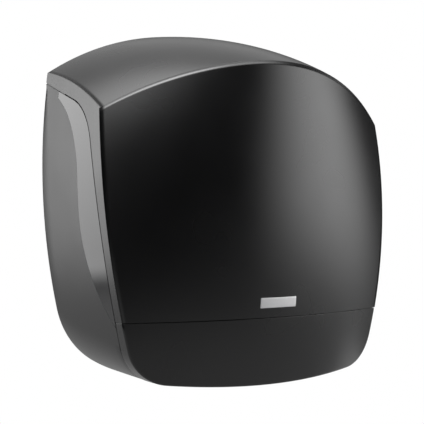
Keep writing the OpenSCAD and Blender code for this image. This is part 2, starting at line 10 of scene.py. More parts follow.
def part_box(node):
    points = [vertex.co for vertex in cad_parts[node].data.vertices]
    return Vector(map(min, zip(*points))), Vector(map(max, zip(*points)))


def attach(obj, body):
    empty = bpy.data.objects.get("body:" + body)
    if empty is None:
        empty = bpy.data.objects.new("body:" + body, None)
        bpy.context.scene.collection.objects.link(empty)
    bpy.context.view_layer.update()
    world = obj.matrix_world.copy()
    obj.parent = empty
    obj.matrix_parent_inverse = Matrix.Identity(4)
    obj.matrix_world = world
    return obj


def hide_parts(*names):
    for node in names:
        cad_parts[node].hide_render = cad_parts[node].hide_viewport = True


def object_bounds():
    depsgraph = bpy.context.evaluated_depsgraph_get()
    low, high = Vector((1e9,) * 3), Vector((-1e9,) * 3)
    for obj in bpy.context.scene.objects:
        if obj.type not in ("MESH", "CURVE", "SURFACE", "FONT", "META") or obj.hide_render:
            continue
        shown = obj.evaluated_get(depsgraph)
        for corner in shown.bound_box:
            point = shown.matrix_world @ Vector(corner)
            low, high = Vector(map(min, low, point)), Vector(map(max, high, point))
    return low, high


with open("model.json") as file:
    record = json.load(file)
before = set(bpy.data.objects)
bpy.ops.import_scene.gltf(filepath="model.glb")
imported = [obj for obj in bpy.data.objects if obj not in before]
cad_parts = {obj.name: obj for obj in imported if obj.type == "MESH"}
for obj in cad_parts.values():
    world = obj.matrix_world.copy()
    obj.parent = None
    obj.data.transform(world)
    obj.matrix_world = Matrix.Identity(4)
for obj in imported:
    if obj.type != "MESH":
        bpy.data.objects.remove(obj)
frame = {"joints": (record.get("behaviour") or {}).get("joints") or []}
cadLow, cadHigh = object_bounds()  # the CAD box, before anything is added
mm = 0.001
imageSide = 424  # pixels
holeSides, boreSides, pinSides, turnedSides = 24, 32, 40, 64  # how finely round shapes are drawn
bothSides = ((-1, "Left"), (1, "Right"))

# Sizes are millimetres and degrees, turned to metres only where a mesh is made
bodyForm = {
    "halfWidth": 148, "widestZ": 30, "sideBowR": 570, "cornerR": 38, "cornerWallR": 75,
    "topZ": 155, "lowZ": -155, "bottomBowR": 820, "depth": 152,
    "frontFullZ": 47, "frontBowR": 1075, "frontAxisY": 140, "frontLean": 46.7,
    "topSlope": 6.3, "topBowR": 520, "topAxisDrop": 85, "topRise": 23.9,
    "wall": 2.5, "seamGap": 1.0, "panelGap": 0.8, "panelSeamZ": -98,
}
seamForm = {
    "foremostY": 105, "foremostZ": -75, "bowR": 500, "wallZ": 102.7, "fall": 19, "bendR": 50,
}
windowForm = {
    "rearY": 67, "topR": 76, "topZ": 20, "lowR": 135, "lowZ": -10, "tipY": 27,
    "thick": 1.6, "fit": 0.1, "ledge": 3, "lowSearch": (-150, 0), "highSearch": (60, 100),
}
doorShift, housingShift = -bodyForm["seamGap"] / 2, bodyForm["seamGap"] / 2


# Where miss is nought, found by following its slope
def solve(miss, start, rounds=14, tip=0.01):
    value = start
    for _ in range(rounds):
        here = miss(value)
        value = value - here / ((miss(value + tip) - here) / tip)
    return value


def sideX(z):
    r = bodyForm["sideBowR"]
    return bodyForm["halfWidth"] - r + np.sqrt(r**2 - (z - bodyForm["widestZ"]) ** 2)


def bottomZ(x):
    r = bodyForm["bottomBowR"]
    return bodyForm["lowZ"] + r - np.sqrt(r**2 - x**2)


# Depth of the front: an arc turned about a leaning axis
def frontY(x, z, guess=-140):
    lean, r = math.radians(bodyForm["frontLean"]), bodyForm["frontBowR"]
    c, s = math.cos(lean), math.sin(lean)
    arcY, full = r - bodyForm["depth"] - bodyForm["frontAxisY"], bodyForm["frontFullZ"]
    arcR, arcT = -(arcY * c + full * s), full * c - arcY * s

    def miss(y):
        away = y - bodyForm["frontAxisY"]
        return np.hypot(away * c + z * s, x) - arcR - np.sqrt(r**2 - (z * c - away * s - arcT) ** 2)

    return solve(miss, np.zeros(np.broadcast(x, z).shape) + guess)


# Height of the top: an arc turned about an axis that rises to the front
def topZ(x, y, guess=110):
    rise, slope = math.radians(bodyForm["topRise"]), math.radians(bodyForm["topSlope"])
    c, s, r = math.cos(rise), math.sin(rise), bodyForm["topBowR"]
    arcY = r * math.sin(slope)
    arcZ = bodyForm["topZ"] - r * math.cos(slope) + bodyForm["topAxisDrop"]
    arcR, arcT = arcY * s + arcZ * c, arcZ * s - arcY * c

    def miss(z):
        up = z + bodyForm["topAxisDrop"]
        return np.hypot(y * s + up * c, x) - arcR - np.sqrt(r**2 - (up * s - y * c - arcT) ** 2)

    return solve(miss, np.zeros(np.broadcast(x, y).shape) + guess)


# Side seam in (y, z): a falling line, a bend and a long bow; shift moves it into the housing
def seamParts():
    fall = math.radians(seamForm["fall"])
    bowC = np.array([seamForm["bowR"] - seamForm["foremostY"], seamForm["foremostZ"]])
    along = np.array([-math.cos(fall), -math.sin(fall)])
    down = np.array([math.sin(fall), -math.cos(fall)])
    off = np.array([0, seamForm["wallZ"]]) + seamForm["bendR"] * down - bowC
    reach = seamForm["bowR"] - seamForm["bendR"]
    run = -(off @ along) + math.sqrt((off @ along) ** 2 - off @ off + reach**2)
    bendC = bowC + off + run * along
    return fall, bowC, bendC, math.atan2(*(bendC - bowC)[::-1])


seamFall, seamBowC, seamBendC, seamTurn = seamParts()


def seamY(z, shift):
    bendR, bowR = seamForm["bendR"] - shift, seamForm["bowR"] - shift
    line = (z - seamForm["wallZ"] + shift / math.cos(seamFall)) / math.tan(seamFall)
    bend = seamBendC[0] - np.sqrt(np.maximum(bendR**2 - (z - seamBendC[1]) ** 2, 0))
    bow = seamBowC[0] - np.sqrt(bowR**2 - (z - seamBowC[1]) ** 2)
    lineEnd = seamBendC[1] + bendR * math.cos(seamFall)
    bowEnd = seamBendC[1] + bendR * math.sin(seamTurn)
    return np.where(z > lineEnd, np.minimum(line, 0), np.where(z > bowEnd, bend, bow))


def seamZ(y, shift):  # the seam's upper run, as a height
    bendR = seamForm["bendR"] - shift
    line = seamForm["wallZ"] - shift / math.cos(seamFall) + y * math.tan(seamFall)
    bend = seamBendC[1] + np.sqrt(np.maximum(bendR**2 - (y - seamBendC[0]) ** 2, 0))
    return np.where(y > seamBendC[0] - bendR * math.sin(seamFall), line, bend)


# The window's rear edge; inset draws the window in
def windowRearY(z, inset):
    form = windowForm
    topR, lowR = form["topR"] + inset, form["lowR"] - inset
    topC, lowC = form["topR"] - form["rearY"], -form["rearY"] - form["lowR"]
    upper = topC - np.sqrt(np.maximum(topR**2 - (z - form["topZ"]) ** 2, 0))
    lower = lowC + np.sqrt(np.maximum(lowR**2 - (z - form["lowZ"]) ** 2, 0))
    straight = -form["rearY"] - inset
    rear = np.where(z > form["topZ"], upper, np.where(z > form["lowZ"], straight, lower))
    return np.minimum(rear, -form["tipY"] - inset)


def crossing(difference, low, high, rounds=60):  # where a falling or rising difference is nought
    for _ in range(rounds):
        middle = (low + high) / 2
        if (difference(middle) > 0) == (difference(high) > 0):
            high = middle
        else:
            low = middle
    return (low + high) / 2


def windowSpan(shift, inset, least):  # lowest and highest level where the window is that wide
    def spare(z):
        return float(windowRearY(z, inset) - seamY(z, shift)) - least

    return crossing(spare, *windowForm["lowSearch"]), crossing(spare, *windowForm["highSearch"])


def windowTipZ(inset):  # where the rear edge's bend meets the upright tip
    reach = windowForm["topR"] - windowForm["rearY"] + windowForm["tipY"] + inset
    return windowForm["topZ"] + math.sqrt((windowForm["topR"] + inset) ** 2 - reach**2)


# Centre of a lower corner, and the directions from it to where the side and the bottom start
def cornerCentre(r):
    side = np.array([bodyForm["halfWidth"] - bodyForm["sideBowR"], bodyForm["widestZ"]])
    low = np.array([0, bodyForm["lowZ"] + bodyForm["bottomBowR"]])
    ra, rb = bodyForm["sideBowR"] - r, bodyForm["bottomBowR"] - r
    span = np.linalg.norm(low - side)
    along = (ra**2 - rb**2 + span**2) / (2 * span)
    d = (low - side) / span
    centre = side + along * d + math.sqrt(ra**2 - along**2) * np.array([d[1], -d[0]])
    return centre, (centre - side) / ra, (centre - low) / rb


# Radius of a lower corner at a depth: it grows from the front edge to the wall
def cornerRadius(y):
    small, large = bodyForm["cornerR"], bodyForm["cornerWallR"]
    centre, outSide, outLow = cornerCentre((small + large) / 2)
    out = (outSide + outLow) / np.linalg.norm(outSide + outLow)
    foremost = frontY(*(centre + (small + large) / 2 * out))
    return large - (large - small) * y / float(foremost)


# Right half of the outline from zTop down to the middle of the lower edge, as (x, z)
def outlineHalf(zTop, sides, corners, bottoms, r):
    centre, outSide, outLow = cornerCentre(r)
    start, end = centre + r * outSide, centre + r * outLow
    z = np.linspace(zTop, start[1], sides + 1)
    turn = np.linspace(math.atan2(*outSide[::-1]), math.atan2(*outLow[::-1]), corners + 1)[1:]
    x = np.linspace(end[0], 0, bottoms + 1)[1:]
    return np.concatenate([
        np.stack([sideX(z), z], 1),
        centre + r * np.stack([np.cos(turn), np.sin(turn)], 1),
        np.stack([x, bottomZ(x)], 1),
    ])


def outlineWhole(zTop, sides, corners, bottoms, r):
    half = outlineHalf(zTop, sides, corners, bottoms, r)
    return np.concatenate([half * [-1, 1], half[-2::-1]])


def runAlong(line):  # how far along a line each of its points lies
    return np.concatenate([[0], np.cumsum(np.linalg.norm(np.diff(line, axis=0), axis=1))])


def undersideZ(x, y, fine=200):  # height of the underside, round corners too
    line = outlineHalf(0, 1, fine, fine, cornerRadius(y))[::-1]
    return np.interp(np.abs(x), line[:, 0], line[:, 1])


# Even steps from 0 to 1, and one more near each end that keeps the shading straight up to the edge
def stepsTo(count, near):
    return np.sort(np.concatenate([np.linspace(0, 1, count + 1), [near, 1 - near]]))


formMiddle = np.array([0, -40, 0])  # every outer face points away from here
weldSheet, weldSolid = 0.002, 0.001  # points nearer than this become one


# One mesh from grids of points in millimetres, with each grid's faces turned outwards
def meshFromGrids(name, grids):
    points, faces = [], []
    for grid in grids:
        rows, cols = grid.shape[:2]
        base = sum(len(p) for p in points)
        index = np.arange(rows * cols).reshape(rows, cols)
        quads = np.stack([index[:-1, :-1], index[:-1, 1:], index[1:, 1:], index[1:, :-1]], -1).reshape(-1, 4)
        flat = grid.reshape(-1, 3)
        normal = np.cross(flat[quads[:, 2]] - flat[quads[:, 0]], flat[quads[:, 3]] - flat[quads[:, 1]])
        if (normal * (flat[quads].mean(1) - formMiddle)).sum() < 0:
            quads = quads[:, ::-1]
        points.append(flat)
        faces.extend((quads + base).tolist())
    mesh = bpy.data.meshes.new(name)
    mesh.from_pydata((np.concatenate(points) * mm).tolist(), [], faces)
    bm = bmesh.new()
    bm.from_mesh(mesh)
    bmesh.ops.remove_doubles(bm, verts=bm.verts, dist=weldSheet * mm)
    bmesh.ops.dissolve_degenerate(bm, edges=bm.edges, dist=weldSheet * mm)
    bm.to_mesh(mesh)
    bm.free()
    return mesh


def newObject(name, mesh):
    piece = bpy.data.objects.new(name, mesh)
    bpy.context.scene.collection.objects.link(piece)
    return piece


# What an object looks like with its modifiers, as a plain mesh
def evaluatedMesh(piece):
    bpy.context.view_layer.update()
    return bpy.data.meshes.new_from_object(piece.evaluated_get(bpy.context.evaluated_depsgraph_get()))


def settle(piece):  # the plain mesh takes the place of the modifiers
    old = piece.data
    new = evaluatedMesh(piece)
    piece.modifiers.clear()
    piece.data = new
    if old.users == 0:
        bpy.data.meshes.remove(old)


def takeMesh(piece):  # keeps an object's mesh and drops the object
    mesh = piece.data
    bpy.data.objects.remove(piece)
    return mesh


def bevelEdges(piece, weights, width, segments):
    layer = piece.data.attributes.new("bevel_weight_edge", "FLOAT", "EDGE")
    layer.data.foreach_set("value", weights)
    bevel = piece.modifiers.new("edges", "BEVEL")
    bevel.limit_method = "WEIGHT"
    bevel.width = width * mm
    bevel.segments = segments
    bevel.use_clamp_overlap = True
    normals = piece.modifiers.new("normals", "WEIGHTED_NORMAL")
    normals.keep_sharp = True
    settle(piece)
    left = piece.data.attributes.get("bevel_weight_edge")
    if left:
        piece.data.attributes.remove(left)
    piece.data.shade_smooth()


# On the front, top and sides the shading follows the form itself, right up to the folds
def trueNormals(mesh, tip=0.05, near=0.01):
    points, corners = np.empty(3 * len(mesh.vertices)), np.empty(3 * len(mesh.loops))
    owners = np.empty(len(mesh.loops), int)
    mesh.vertices.foreach_get("co", points)
    mesh.corner_normals.foreach_get("vector", corners)
    mesh.loops.foreach_get("vertex_index", owners)
    normals = np.zeros((len(mesh.vertices), 3))
    normals[owners] = corners.reshape(-1, 3)
    x, y, z = points.reshape(-1, 3).T / mm
    one = np.ones_like(x)
    with np.errstate(invalid="ignore"):
        frontSlope = (frontY(x + tip, z) - frontY(x - tip, z), -2 * tip * one,
                      frontY(x, z + tip) - frontY(x, z - tip))
        topSlope = (topZ(x - tip, y) - topZ(x + tip, y), topZ(x, y - tip) - topZ(x, y + tip), 2 * tip * one)
        sideSlope = (2 * tip * np.sign(x), 0 * one, sideX(z - tip) - sideX(z + tip))
        away = (y - frontY(x, z), z - topZ(x, y), np.abs(x) - sideX(z))
        for distance, slope in zip(away, (frontSlope, topSlope, sideSlope)):
            on, normal = np.abs(distance) < near, np.stack(slope, 1)
            normals[on] = normal[on] / np.linalg.norm(normal[on], axis=1)[:, None]
    mesh.normals_split_custom_set_from_vertices(normals)


# A sheet gets its wall and rounded edges: fold along the outer creases, rim round the open edges
def shellFrom(mesh, wall, rim, fold=1, foldAngle=25, innerShare=0.5, segments=4):
    piece = newObject(mesh.name, mesh)
    outer = len(mesh.polygons)
    solid = piece.modifiers.new("wall", "SOLIDIFY")
    solid.thickness = wall * mm
    solid.offset = -1
    solid.use_even_offset = True
    solid.use_quality_normals = True
    settle(piece)
    for vertex in piece.data.vertices:  # nothing reaches into the room's wall
        vertex.co.y = min(vertex.co.y, 0)
    bm = bmesh.new()
    bm.from_mesh(piece.data)
    weights = []
    for edge in bm.edges:
        linked = edge.link_faces
        sharp = len(linked) == 2 and math.degrees(edge.calc_face_angle(0)) > foldAngle
        sheets = {min(f.index // outer, 2) for f in linked}  # 0 outer, 1 inner, 2 the rim between
        weight = 1 if sheets == {0} else innerShare if sheets == {1} else rim / fold
        weights.append(weight if sharp else 0)
    bm.free()
    bevelEdges(piece, weights, fold, segments)
    trueNormals(piece.data)
    return piece


def closedMesh(name, bm):
    bmesh.ops.remove_doubles(bm, verts=bm.verts, dist=weldSolid * mm)
    bmesh.ops.recalc_face_normals(bm, faces=bm.faces)
    mesh = bpy.data.meshes.new(name)
    bm.to_mesh(mesh)
    bm.free()
    return mesh


# Box between two corners, in millimetres
def boxMesh(low, high):
    bm = bmesh.new()
    size = Vector(high) - Vector(low)
    place = Matrix.Translation((Vector(low) + Vector(high)) / 2 * mm) @ Matrix.Diagonal((*(size * mm), 1))
    bmesh.ops.create_cube(bm, size=1, matrix=place)
    return closedMesh("box", bm)


# A closed block through rings of points, each ring with as many points
def loftMesh(rings):
    bm = bmesh.new()
    loops = [[bm.verts.new(Vector(p) * mm) for p in ring] for ring in rings]
    for one, two in zip(loops, loops[1:]):
        for i in range(len(one)):
            bm.faces.new((one[i - 1], one[i], two[i], two[i - 1]))
    bm.faces.new(loops[0])
    bm.faces.new(loops[-1])
    return closedMesh("loft", bm)


# Chamfered ring profile (radius, along); a bore of nought gives a solid disc
def ringProfile(bore, radius, start, end, chamfer):
    c = chamfer
    outside = [(radius - c, start), (radius, start + c), (radius, end - c), (radius - c, end)]
    inside = [(bore + c, end), (bore, end - c), (bore, start + c), (bore + c, start)]
    return outside + (inside if bore > 0 else [(0, end), (0, start)])


# A turned piece: a closed (radius, along) profile spun about an axis through centre
def turnedMesh(name, profile, axis, centre, sides=turnedSides):
    spin = {"x": lambda r, a, t: (a, r * math.cos(t), r * math.sin(t)),
            "y": lambda r, a, t: (r * math.cos(t), a, r * math.sin(t)),
            "z": lambda r, a, t: (r * math.cos(t), r * math.sin(t), a)}[axis]
    bm = bmesh.new()
    rings = []
    for r, a in profile:
        turns = [2 * math.pi * i / sides for i in range(sides)] if r > 0 else [0]
        rings.append([bm.verts.new((Vector(spin(r, a, t)) + Vector(centre)) * mm) for t in turns])
    for one, two in zip(rings, rings[1:] + rings[:1]):
        for i in range(sides):
            j = (i + 1) % sides
            corners = [one[i % len(one)], one[j % len(one)], two[j % len(two)], two[i % len(two)]]
            corners = list(dict.fromkeys(corners))
            if len(corners) > 2:
                bm.faces.new(corners)
    return closedMesh(name, bm)


# A flat plate with rounded edges from closed outlines (holes too), lying about z = 0
def flatMesh(outlines, thick, edge):
    curve = bpy.data.curves.new("flat", "CURVE")
    curve.dimensions = "2D"
    curve.fill_mode = "BOTH"
    curve.extrude = (thick / 2 - edge) * mm
    curve.bevel_depth = edge * mm
    curve.bevel_resolution = 1
    curve.offset = -edge * mm
    for outline in outlines:
        spline = curve.splines.new("POLY")
        spline.points.add(len(outline) - 1)
        for point, (x, y) in zip(spline.points, outline):
            point.co = (x * mm, y * mm, 0, 1)
        spline.use_cyclic_u = True
    piece = newObject("flat", curve)
    mesh = evaluatedMesh(piece)
    bpy.data.objects.remove(piece)
    bpy.data.curves.remove(curve)
    bm = bmesh.new()
    bm.from_mesh(mesh)
    bpy.data.meshes.remove(mesh)
    return closedMesh("flat", bm)


def moved(mesh, matrix):
    mesh.transform(matrix)
    return mesh


def offset(x, y, z):
    return Matrix.Translation(Vector((x, y, z)) * mm)


# Local x and y of a flat plate become these two axes
def stood(xAxis, yAxis):
    x, y = Vector(xAxis), Vector(yAxis)
    return Matrix((x, y, x.cross(y))).transposed().to_4x4()


def faceMesh(outlines, thick, edge, middleY):  # a flat plate that faces the front, drawn in (x, z)
    mesh = moved(flatMesh(outlines, thick, edge), stood((1, 0, 0), (0, 0, 1)))
    return moved(mesh, offset(0, middleY, 0))


def sideMesh(outlines, thick, edge, middleX):  # a flat plate that faces sideways, drawn in (y, z)
    mesh = moved(flatMesh(outlines, thick, edge), stood((0, 1, 0), (0, 0, 1)))
    return moved(mesh, offset(middleX, 0, 0))


def arcPoints(x, y, r, start, end, count):
    return [(x + r * math.cos(t), y + r * math.sin(t)) for t in np.linspace(start, end, count)]


def circlePoints(x, y, r, count=pinSides):
    return arcPoints(x, y, r, 0, 2 * math.pi, count + 1)[:-1]


def joined(name, meshes):
    bm = bmesh.new()
    for mesh in meshes:
        bm.from_mesh(mesh)
    whole = bpy.data.meshes.new(name)
    bm.to_mesh(whole)
    bm.free()
    return whole


def inMillimetres(box):  # both corners of a CAD node's box
    return [Vector(corner) / mm for corner in box]


# Materials

noiseSpan = (0.3, 0.7)  # nearly all of a noise lies in here
absForm = {"ior": 1.53, "cloud": 60, "grain": 0.9, "grainDepth": 0.012, "grainMix": 0.5, "spread": 0.02}
lensForm = {"colours": ("#2b2b2c", "#313132"), "roughness": 0.06, "ior": 1.45,
            "ripple": 45, "rippleDepth": 0.01}
metalForm = {"blotch": 9, "lineDepth": 0.01, "lineStrength": 0.6, "spread": 0.07}
innerForm = {"flow": 25, "grain": 0.6, "grainDepth": 0.02, "grainStrength": 0.5}


def hexColour(text):  # sRGB hex to linear
    parts = [int(text[i:i + 2], 16) / 255 for i in (1, 3, 5)]
    return (*[c / 12.92 if c <= 0.04045 else ((c + 0.055) / 1.055) ** 2.4 for c in parts], 1)


# Inputs are given by name, or as i and their number. A socket, or a node's first output, is linked;
# anything else is set
def setInputs(tree, node, **values):
    for key, value in values.items():
        slot = node.inputs[int(key[1:]) if key[0] == "i" and key[1:].isdigit() else key.replace("_", " ")]
        if isinstance(value, bpy.types.Node):
            value = value.outputs[0]
        if isinstance(value, bpy.types.NodeSocket):
            tree.links.new(value, slot)
        else:
            slot.default_value = value


# Adds a node: settings are its properties, values its inputs
def addNode(tree, kind, settings=None, **values):
    node = tree.nodes.new(kind)
    for key, value in (settings or {}).items():
        setattr(node, key, value)
    setInputs(tree, node, **values)
    return node


def newMaterial(name, **values):
    material = bpy.data.materials.new(name)
    material.use_nodes = True
    tree = material.node_tree
    tree.nodes.clear()
    surface = addNode(tree, "ShaderNodeBsdfPrincipled", **values)
    addNode(tree, "ShaderNodeOutputMaterial", Surface=surface)
    place = addNode(tree, "ShaderNodeTexCoord").outputs["Object"]
    return material, tree, surface, place


def perMetre(size):  # a noise scale whose features measure size millimetres
    return 1 / (size * mm)


# Satin moulded ABS: a spark-eroded tool leaves a fine even grain that breaks the gloss up.
# The real grain is about 0.15 mm; it is drawn coarser so that it shows at this distance.
def mouldedAbs(name, tint, dark, light, roughness):
    form = absForm
    material, tree, surface, place = newMaterial(name, IOR=form["ior"])
    cloud = addNode(tree, "ShaderNodeTexNoise", Vector=place, Scale=perMetre(form["cloud"]), Detail=2.0)
    grain = addNode(tree, "ShaderNodeTexNoise", Vector=place, Scale=perMetre(form["grain"]), Detail=2.0,
                    Roughness=0.6)
    shade = addNode(tree, "ShaderNodeValToRGB", Fac=grain)
    for stop, position, colour in zip(shade.color_ramp.elements, noiseSpan, (dark, light)):
        stop.position = position
        stop.color = hexColour(colour)
    tone = addNode(tree, "ShaderNodeMix", {"data_type": "RGBA"}, Factor=form["grainMix"], i6=hexColour(tint),
                   i7=shade)
    gloss = addNode(tree, "ShaderNodeMapRange", Value=cloud, From_Min=noiseSpan[0], From_Max=noiseSpan[1],
                    To_Min=roughness - form["spread"], To_Max=roughness + form["spread"])
    bump = addNode(tree, "ShaderNodeBump", Strength=1.0, Distance=form["grainDepth"] * mm, Height=grain)
    setInputs(tree, surface, Base_Color=tone.outputs[2], Roughness=gloss, Normal=bump)
    return material


# Polished smoked polycarbonate: mirror-like, with a slight moulding ripple and a dark tint
def smokedLens(name):
    form = lensForm
    material, tree, surface, place = newMaterial(name, Roughness=form["roughness"], IOR=form["ior"])
    ripple = addNode(tree, "ShaderNodeTexNoise", Vector=place, Scale=perMetre(form["ripple"]), Detail=1.0)
    tone = addNode(tree, "ShaderNodeMix", {"data_type": "RGBA"}, Factor=ripple,
                   i6=hexColour(form["colours"][0]), i7=hexColour(form["colours"][1]))
    bump = addNode(tree, "ShaderNodeBump", Strength=1.0, Distance=form["rippleDepth"] * mm, Height=ripple)
    setInputs(tree, surface, Base_Color=tone.outputs[2], Normal=bump)
    return material


# Metal whose rolling, brushing or turning leaves marks that streak the gloss. Run is a mark's length along
# the axis (0 x, 1 y, 2 z) and spacing its width across it, so a short run gives a turned piece's rings.
# Fine marks are drawn coarser so that they show.
def linedMetal(name, colours, roughness, spacing, run, along):
    form = metalForm
    material, tree, surface, place = newMaterial(name, Metallic=1.0)
    scale = [perMetre(spacing)] * 3
    scale[along] = perMetre(run)
    stretched = addNode(tree, "ShaderNodeMapping", Vector=place, Scale=scale)
    lines = addNode(tree, "ShaderNodeTexNoise", Vector=stretched, Scale=1.0, Detail=2.0)
    blotch = addNode(tree, "ShaderNodeTexNoise", Vector=place, Scale=perMetre(form["blotch"]), Detail=2.0)
    tone = addNode(tree, "ShaderNodeMix", {"data_type": "RGBA"}, Factor=blotch,
                   i6=hexColour(colours[0]), i7=hexColour(colours[1]))
    gloss = addNode(tree, "ShaderNodeMapRange", Value=lines, From_Min=noiseSpan[0], From_Max=noiseSpan[1],
                    To_Min=roughness - form["spread"], To_Max=roughness + form["spread"])
    bump = addNode(tree, "ShaderNodeBump", Strength=form["lineStrength"], Distance=form["lineDepth"] * mm,
                   Height=lines)
    setInputs(tree, surface, Base_Color=tone.outputs[2], Roughness=gloss, Normal=bump)
    return material


# Plain moulded plastic for the inner pieces: dull, with faint flow clouds
def innerPlastic(name, colours, roughness):
    form = innerForm
    material, tree, surface, place = newMaterial(name, Roughness=roughness)
    flow = addNode(tree, "ShaderNodeTexNoise", Vector=place, Scale=perMetre(form["flow"]), Detail=3.0)
    tone = addNode(tree, "ShaderNodeMix", {"data_type": "RGBA"}, Factor=flow,
                   i6=hexColour(colours[0]), i7=hexColour(colours[1]))
    grain = addNode(tree, "ShaderNodeTexNoise", Vector=place, Scale=perMetre(form["grain"]), Detail=1.0)
    bump = addNode(tree, "ShaderNodeBump", Strength=form["grainStrength"], Distance=form["grainDepth"] * mm,
                   Height=grain)
    setInputs(tree, surface, Base_Color=tone.outputs[2], Normal=bump)
    return material


coverAbs = mouldedAbs("blackAbsSatinMoulded", "#09090a", "#060607", "#0d0d0e", 0.26)
housingAbs = mouldedAbs("blackAbsHousingMoulded", "#0f0f10", "#0b0b0c", "#141415", 0.32)
windowLens = smokedLens("smokedPolycarbonatePolished")
zincSteel = linedMetal("sheetSteelZincPlated", ("#b3b6b8", "#c3c6c8"), 0.34, 0.5, 14, 0)  # cool, streaked
turnedSteel = linedMetal("steelBarTurned", ("#b9babb", "#cacbcc"), 0.25, 8, 0.35, 1)  # bright, ringed
pinSteel = linedMetal("steelPinGround", ("#b9babb", "#cacbcc"), 0.22, 6, 0.3, 0)  # brighter, finer rings
springSteel = linedMetal("springSteelOiled", ("#74757a", "#86878c"), 0.32, 0.5, 6, 0)  # dark grey, oily
bladeSteel = linedMetal("stainlessStripStamped", ("#c2c3c4", "#d0d1d2"), 0.28, 0.4, 20, 1)  # long streaks
screwSteel = linedMetal("steelScrewsZincPlated", ("#b4b6b8", "#c8cacc"), 0.3, 0.6, 2, 2)  # cool, speckled
lockZinc = linedMetal("zincDiecastChromed", ("#cfd1d3", "#dcdee0"), 0.12, 0.8, 5, 1)  # near a mirror
badgeMetal = linedMetal("aluminiumSatinAnodised", ("#c9c9ca", "#d4d4d5"), 0.42, 0.35, 18, 0)  # soft satin
hubPlastic = innerPlastic("greyPolypropyleneMoulded", ("#6e7174", "#7c7f82"), 0.5)
bushNylon = innerPlastic("nylonBushNatural", ("#dcd6c6", "#e8e3d6"), 0.42)
print("materials:", len(bpy.data.materials))


def finishPiece(piece, material, body, slot, *nodes):
    piece.data.materials.clear()
    piece.data.materials.append(material)
    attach(piece, body)
    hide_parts(*nodes)
    return piece


def sharpen(mesh, angle=20):  # smooth shading that keeps machined edges
    mesh.shade_smooth()
    mesh.set_sharp_from_angle(angle=math.radians(angle))


def finishMesh(name, mesh, material, body, slot, *nodes):
    sharpen(mesh)
    return finishPiece(newObject(name, mesh), material, body, slot, *nodes)


def addMeshes(piece, meshes):  # ribs, bosses and the like become one mesh with their piece
    for mesh in meshes:
        sharpen(mesh)
    parts = [piece] + [newObject("part", mesh) for mesh in meshes]
    with bpy.context.temp_override(active_object=piece, selected_editable_objects=parts, object=piece):
        bpy.ops.object.join()
    return piece


# Front cover: front, top and side strips in one shell

# Rows and columns are a count, and how near each end one more lies, as a share of the whole
coverForm = {
    "columns": (48, 0.013), "frontRows": (32, 0.018), "topRows": (16, 0.035), "stripColumns": (3, 0.16),
    "bendMiddle": 135, "fold": 1.4, "rim": 0.08, "screwX": (40, 92), "screwBore": 1.55,
    "flangeWidth": 11, "flangeThick": 3, "flangeEdge": 0.2, "flangeSteps": 41, "blockShort": 2,
}
seamTop = bodyForm["panelSeamZ"] + bodyForm["panelGap"] / 2
seamBelow = bodyForm["panelSeamZ"] - bodyForm["panelGap"] / 2
flangeHoles = [
    (side * x, float(frontY(x, bodyForm["panelSeamZ"])) + bodyForm["wall"] + coverForm["flangeWidth"] / 2)
    for x in coverForm["screwX"] for side in (-1, 1)
]
ridgeGuess, ridgeRounds = 100.0, 40
acrossCover = 2 * stepsTo(*coverForm["columns"]) - 1
ridgeZ = np.full_like(acrossCover, ridgeGuess)
for _ in range(ridgeRounds):  # the crease between front and top
    ridgeX = acrossCover * sideX(ridgeZ)
    ridgeY = frontY(ridgeX, ridgeZ)
    ridgeZ = topZ(ridgeX, ridgeY)


def frontPoints(x, z):
    return np.stack([x, frontY(x, z), z], -1)


def sidePoints(y, z, side):
    return np.stack([side * sideX(z), y, z], -1)


def coverGrids():
    up = stepsTo(*coverForm["frontRows"])[:, None]
    z = seamTop + (ridgeZ - seamTop) * up
    front = frontPoints(acrossCover * sideX(z), z)
    back = stepsTo(*coverForm["topRows"])[:, None]
    y = ridgeY * (1 - back)
    z = np.full_like(y, ridgeGuess)
    for _ in range(ridgeRounds):
        z = topZ(acrossCover * sideX(z), y)
    top = np.stack([acrossCover * sideX(z), y, z], -1)
    bend = math.radians(coverForm["bendMiddle"])
    bendR = seamForm["bendR"] - doorShift
    bendY, bendZ = seamBendC + bendR * np.array([math.cos(bend), math.sin(bend)])
    lowZ = seamTop + (bendZ - seamTop) * up[:, 0]
    highY = bendY * (1 - back[1:, 0])
    seamLow = np.stack([seamY(lowZ, doorShift), lowZ], 1)
    seamHigh = np.stack([highY, seamZ(highY, doorShift)], 1)
    inner = np.concatenate([seamLow, seamHigh])
    outer = np.concatenate([front[:, 0, 1:], top[1:, 0, 1:]])
    across = stepsTo(*coverForm["stripColumns"])[None, :, None]
    strip = inner[:, None] + (outer - inner)[:, None] * across
    return [front, top] + [sidePoints(strip[..., 0], strip[..., 1], side) for side in (-1, 1)]


# Level flange inside the door, with its screw holes, between two heights
def flangeMesh(zLow, zHigh):
    form, wall, z = coverForm, bodyForm["wall"], (zLow + zHigh) / 2
    back = float(seamY(z, doorShift))

    def level(inset):
        x = np.linspace(-1, 1, form["flangeSteps"]) * (float(sideX(z)) - inset)
        y = frontY(x, z) + inset
        return [(x[0], back)] + list(zip(x, y)) + [(x[-1], back)]

    outline = level(wall / 2) + level(wall + form["flangeWidth"])[::-1]
    holes = [circlePoints(x, y, form["screwBore"], holeSides) for x, y in flangeHoles]
    return moved(flatMesh([outline] + holes, zHigh - zLow, form["flangeEdge"]), offset(0, 0, z))


# Block under the top that the keeper is screwed to; its upper corners end inside the wall
def keeperBlock():
    low, high = inMillimetres(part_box("lock_keeper"))
    back = high.y - coverForm["blockShort"]
    feet = [(low.x, low.y), (high.x, low.y), (high.x, back), (low.x, back)]
    tops = [(x, y, float(topZ(x, y)) - bodyForm["wall"]) for x, y in feet]
    return loftMesh([[(x, y, high.z) for x, y in feet], tops])


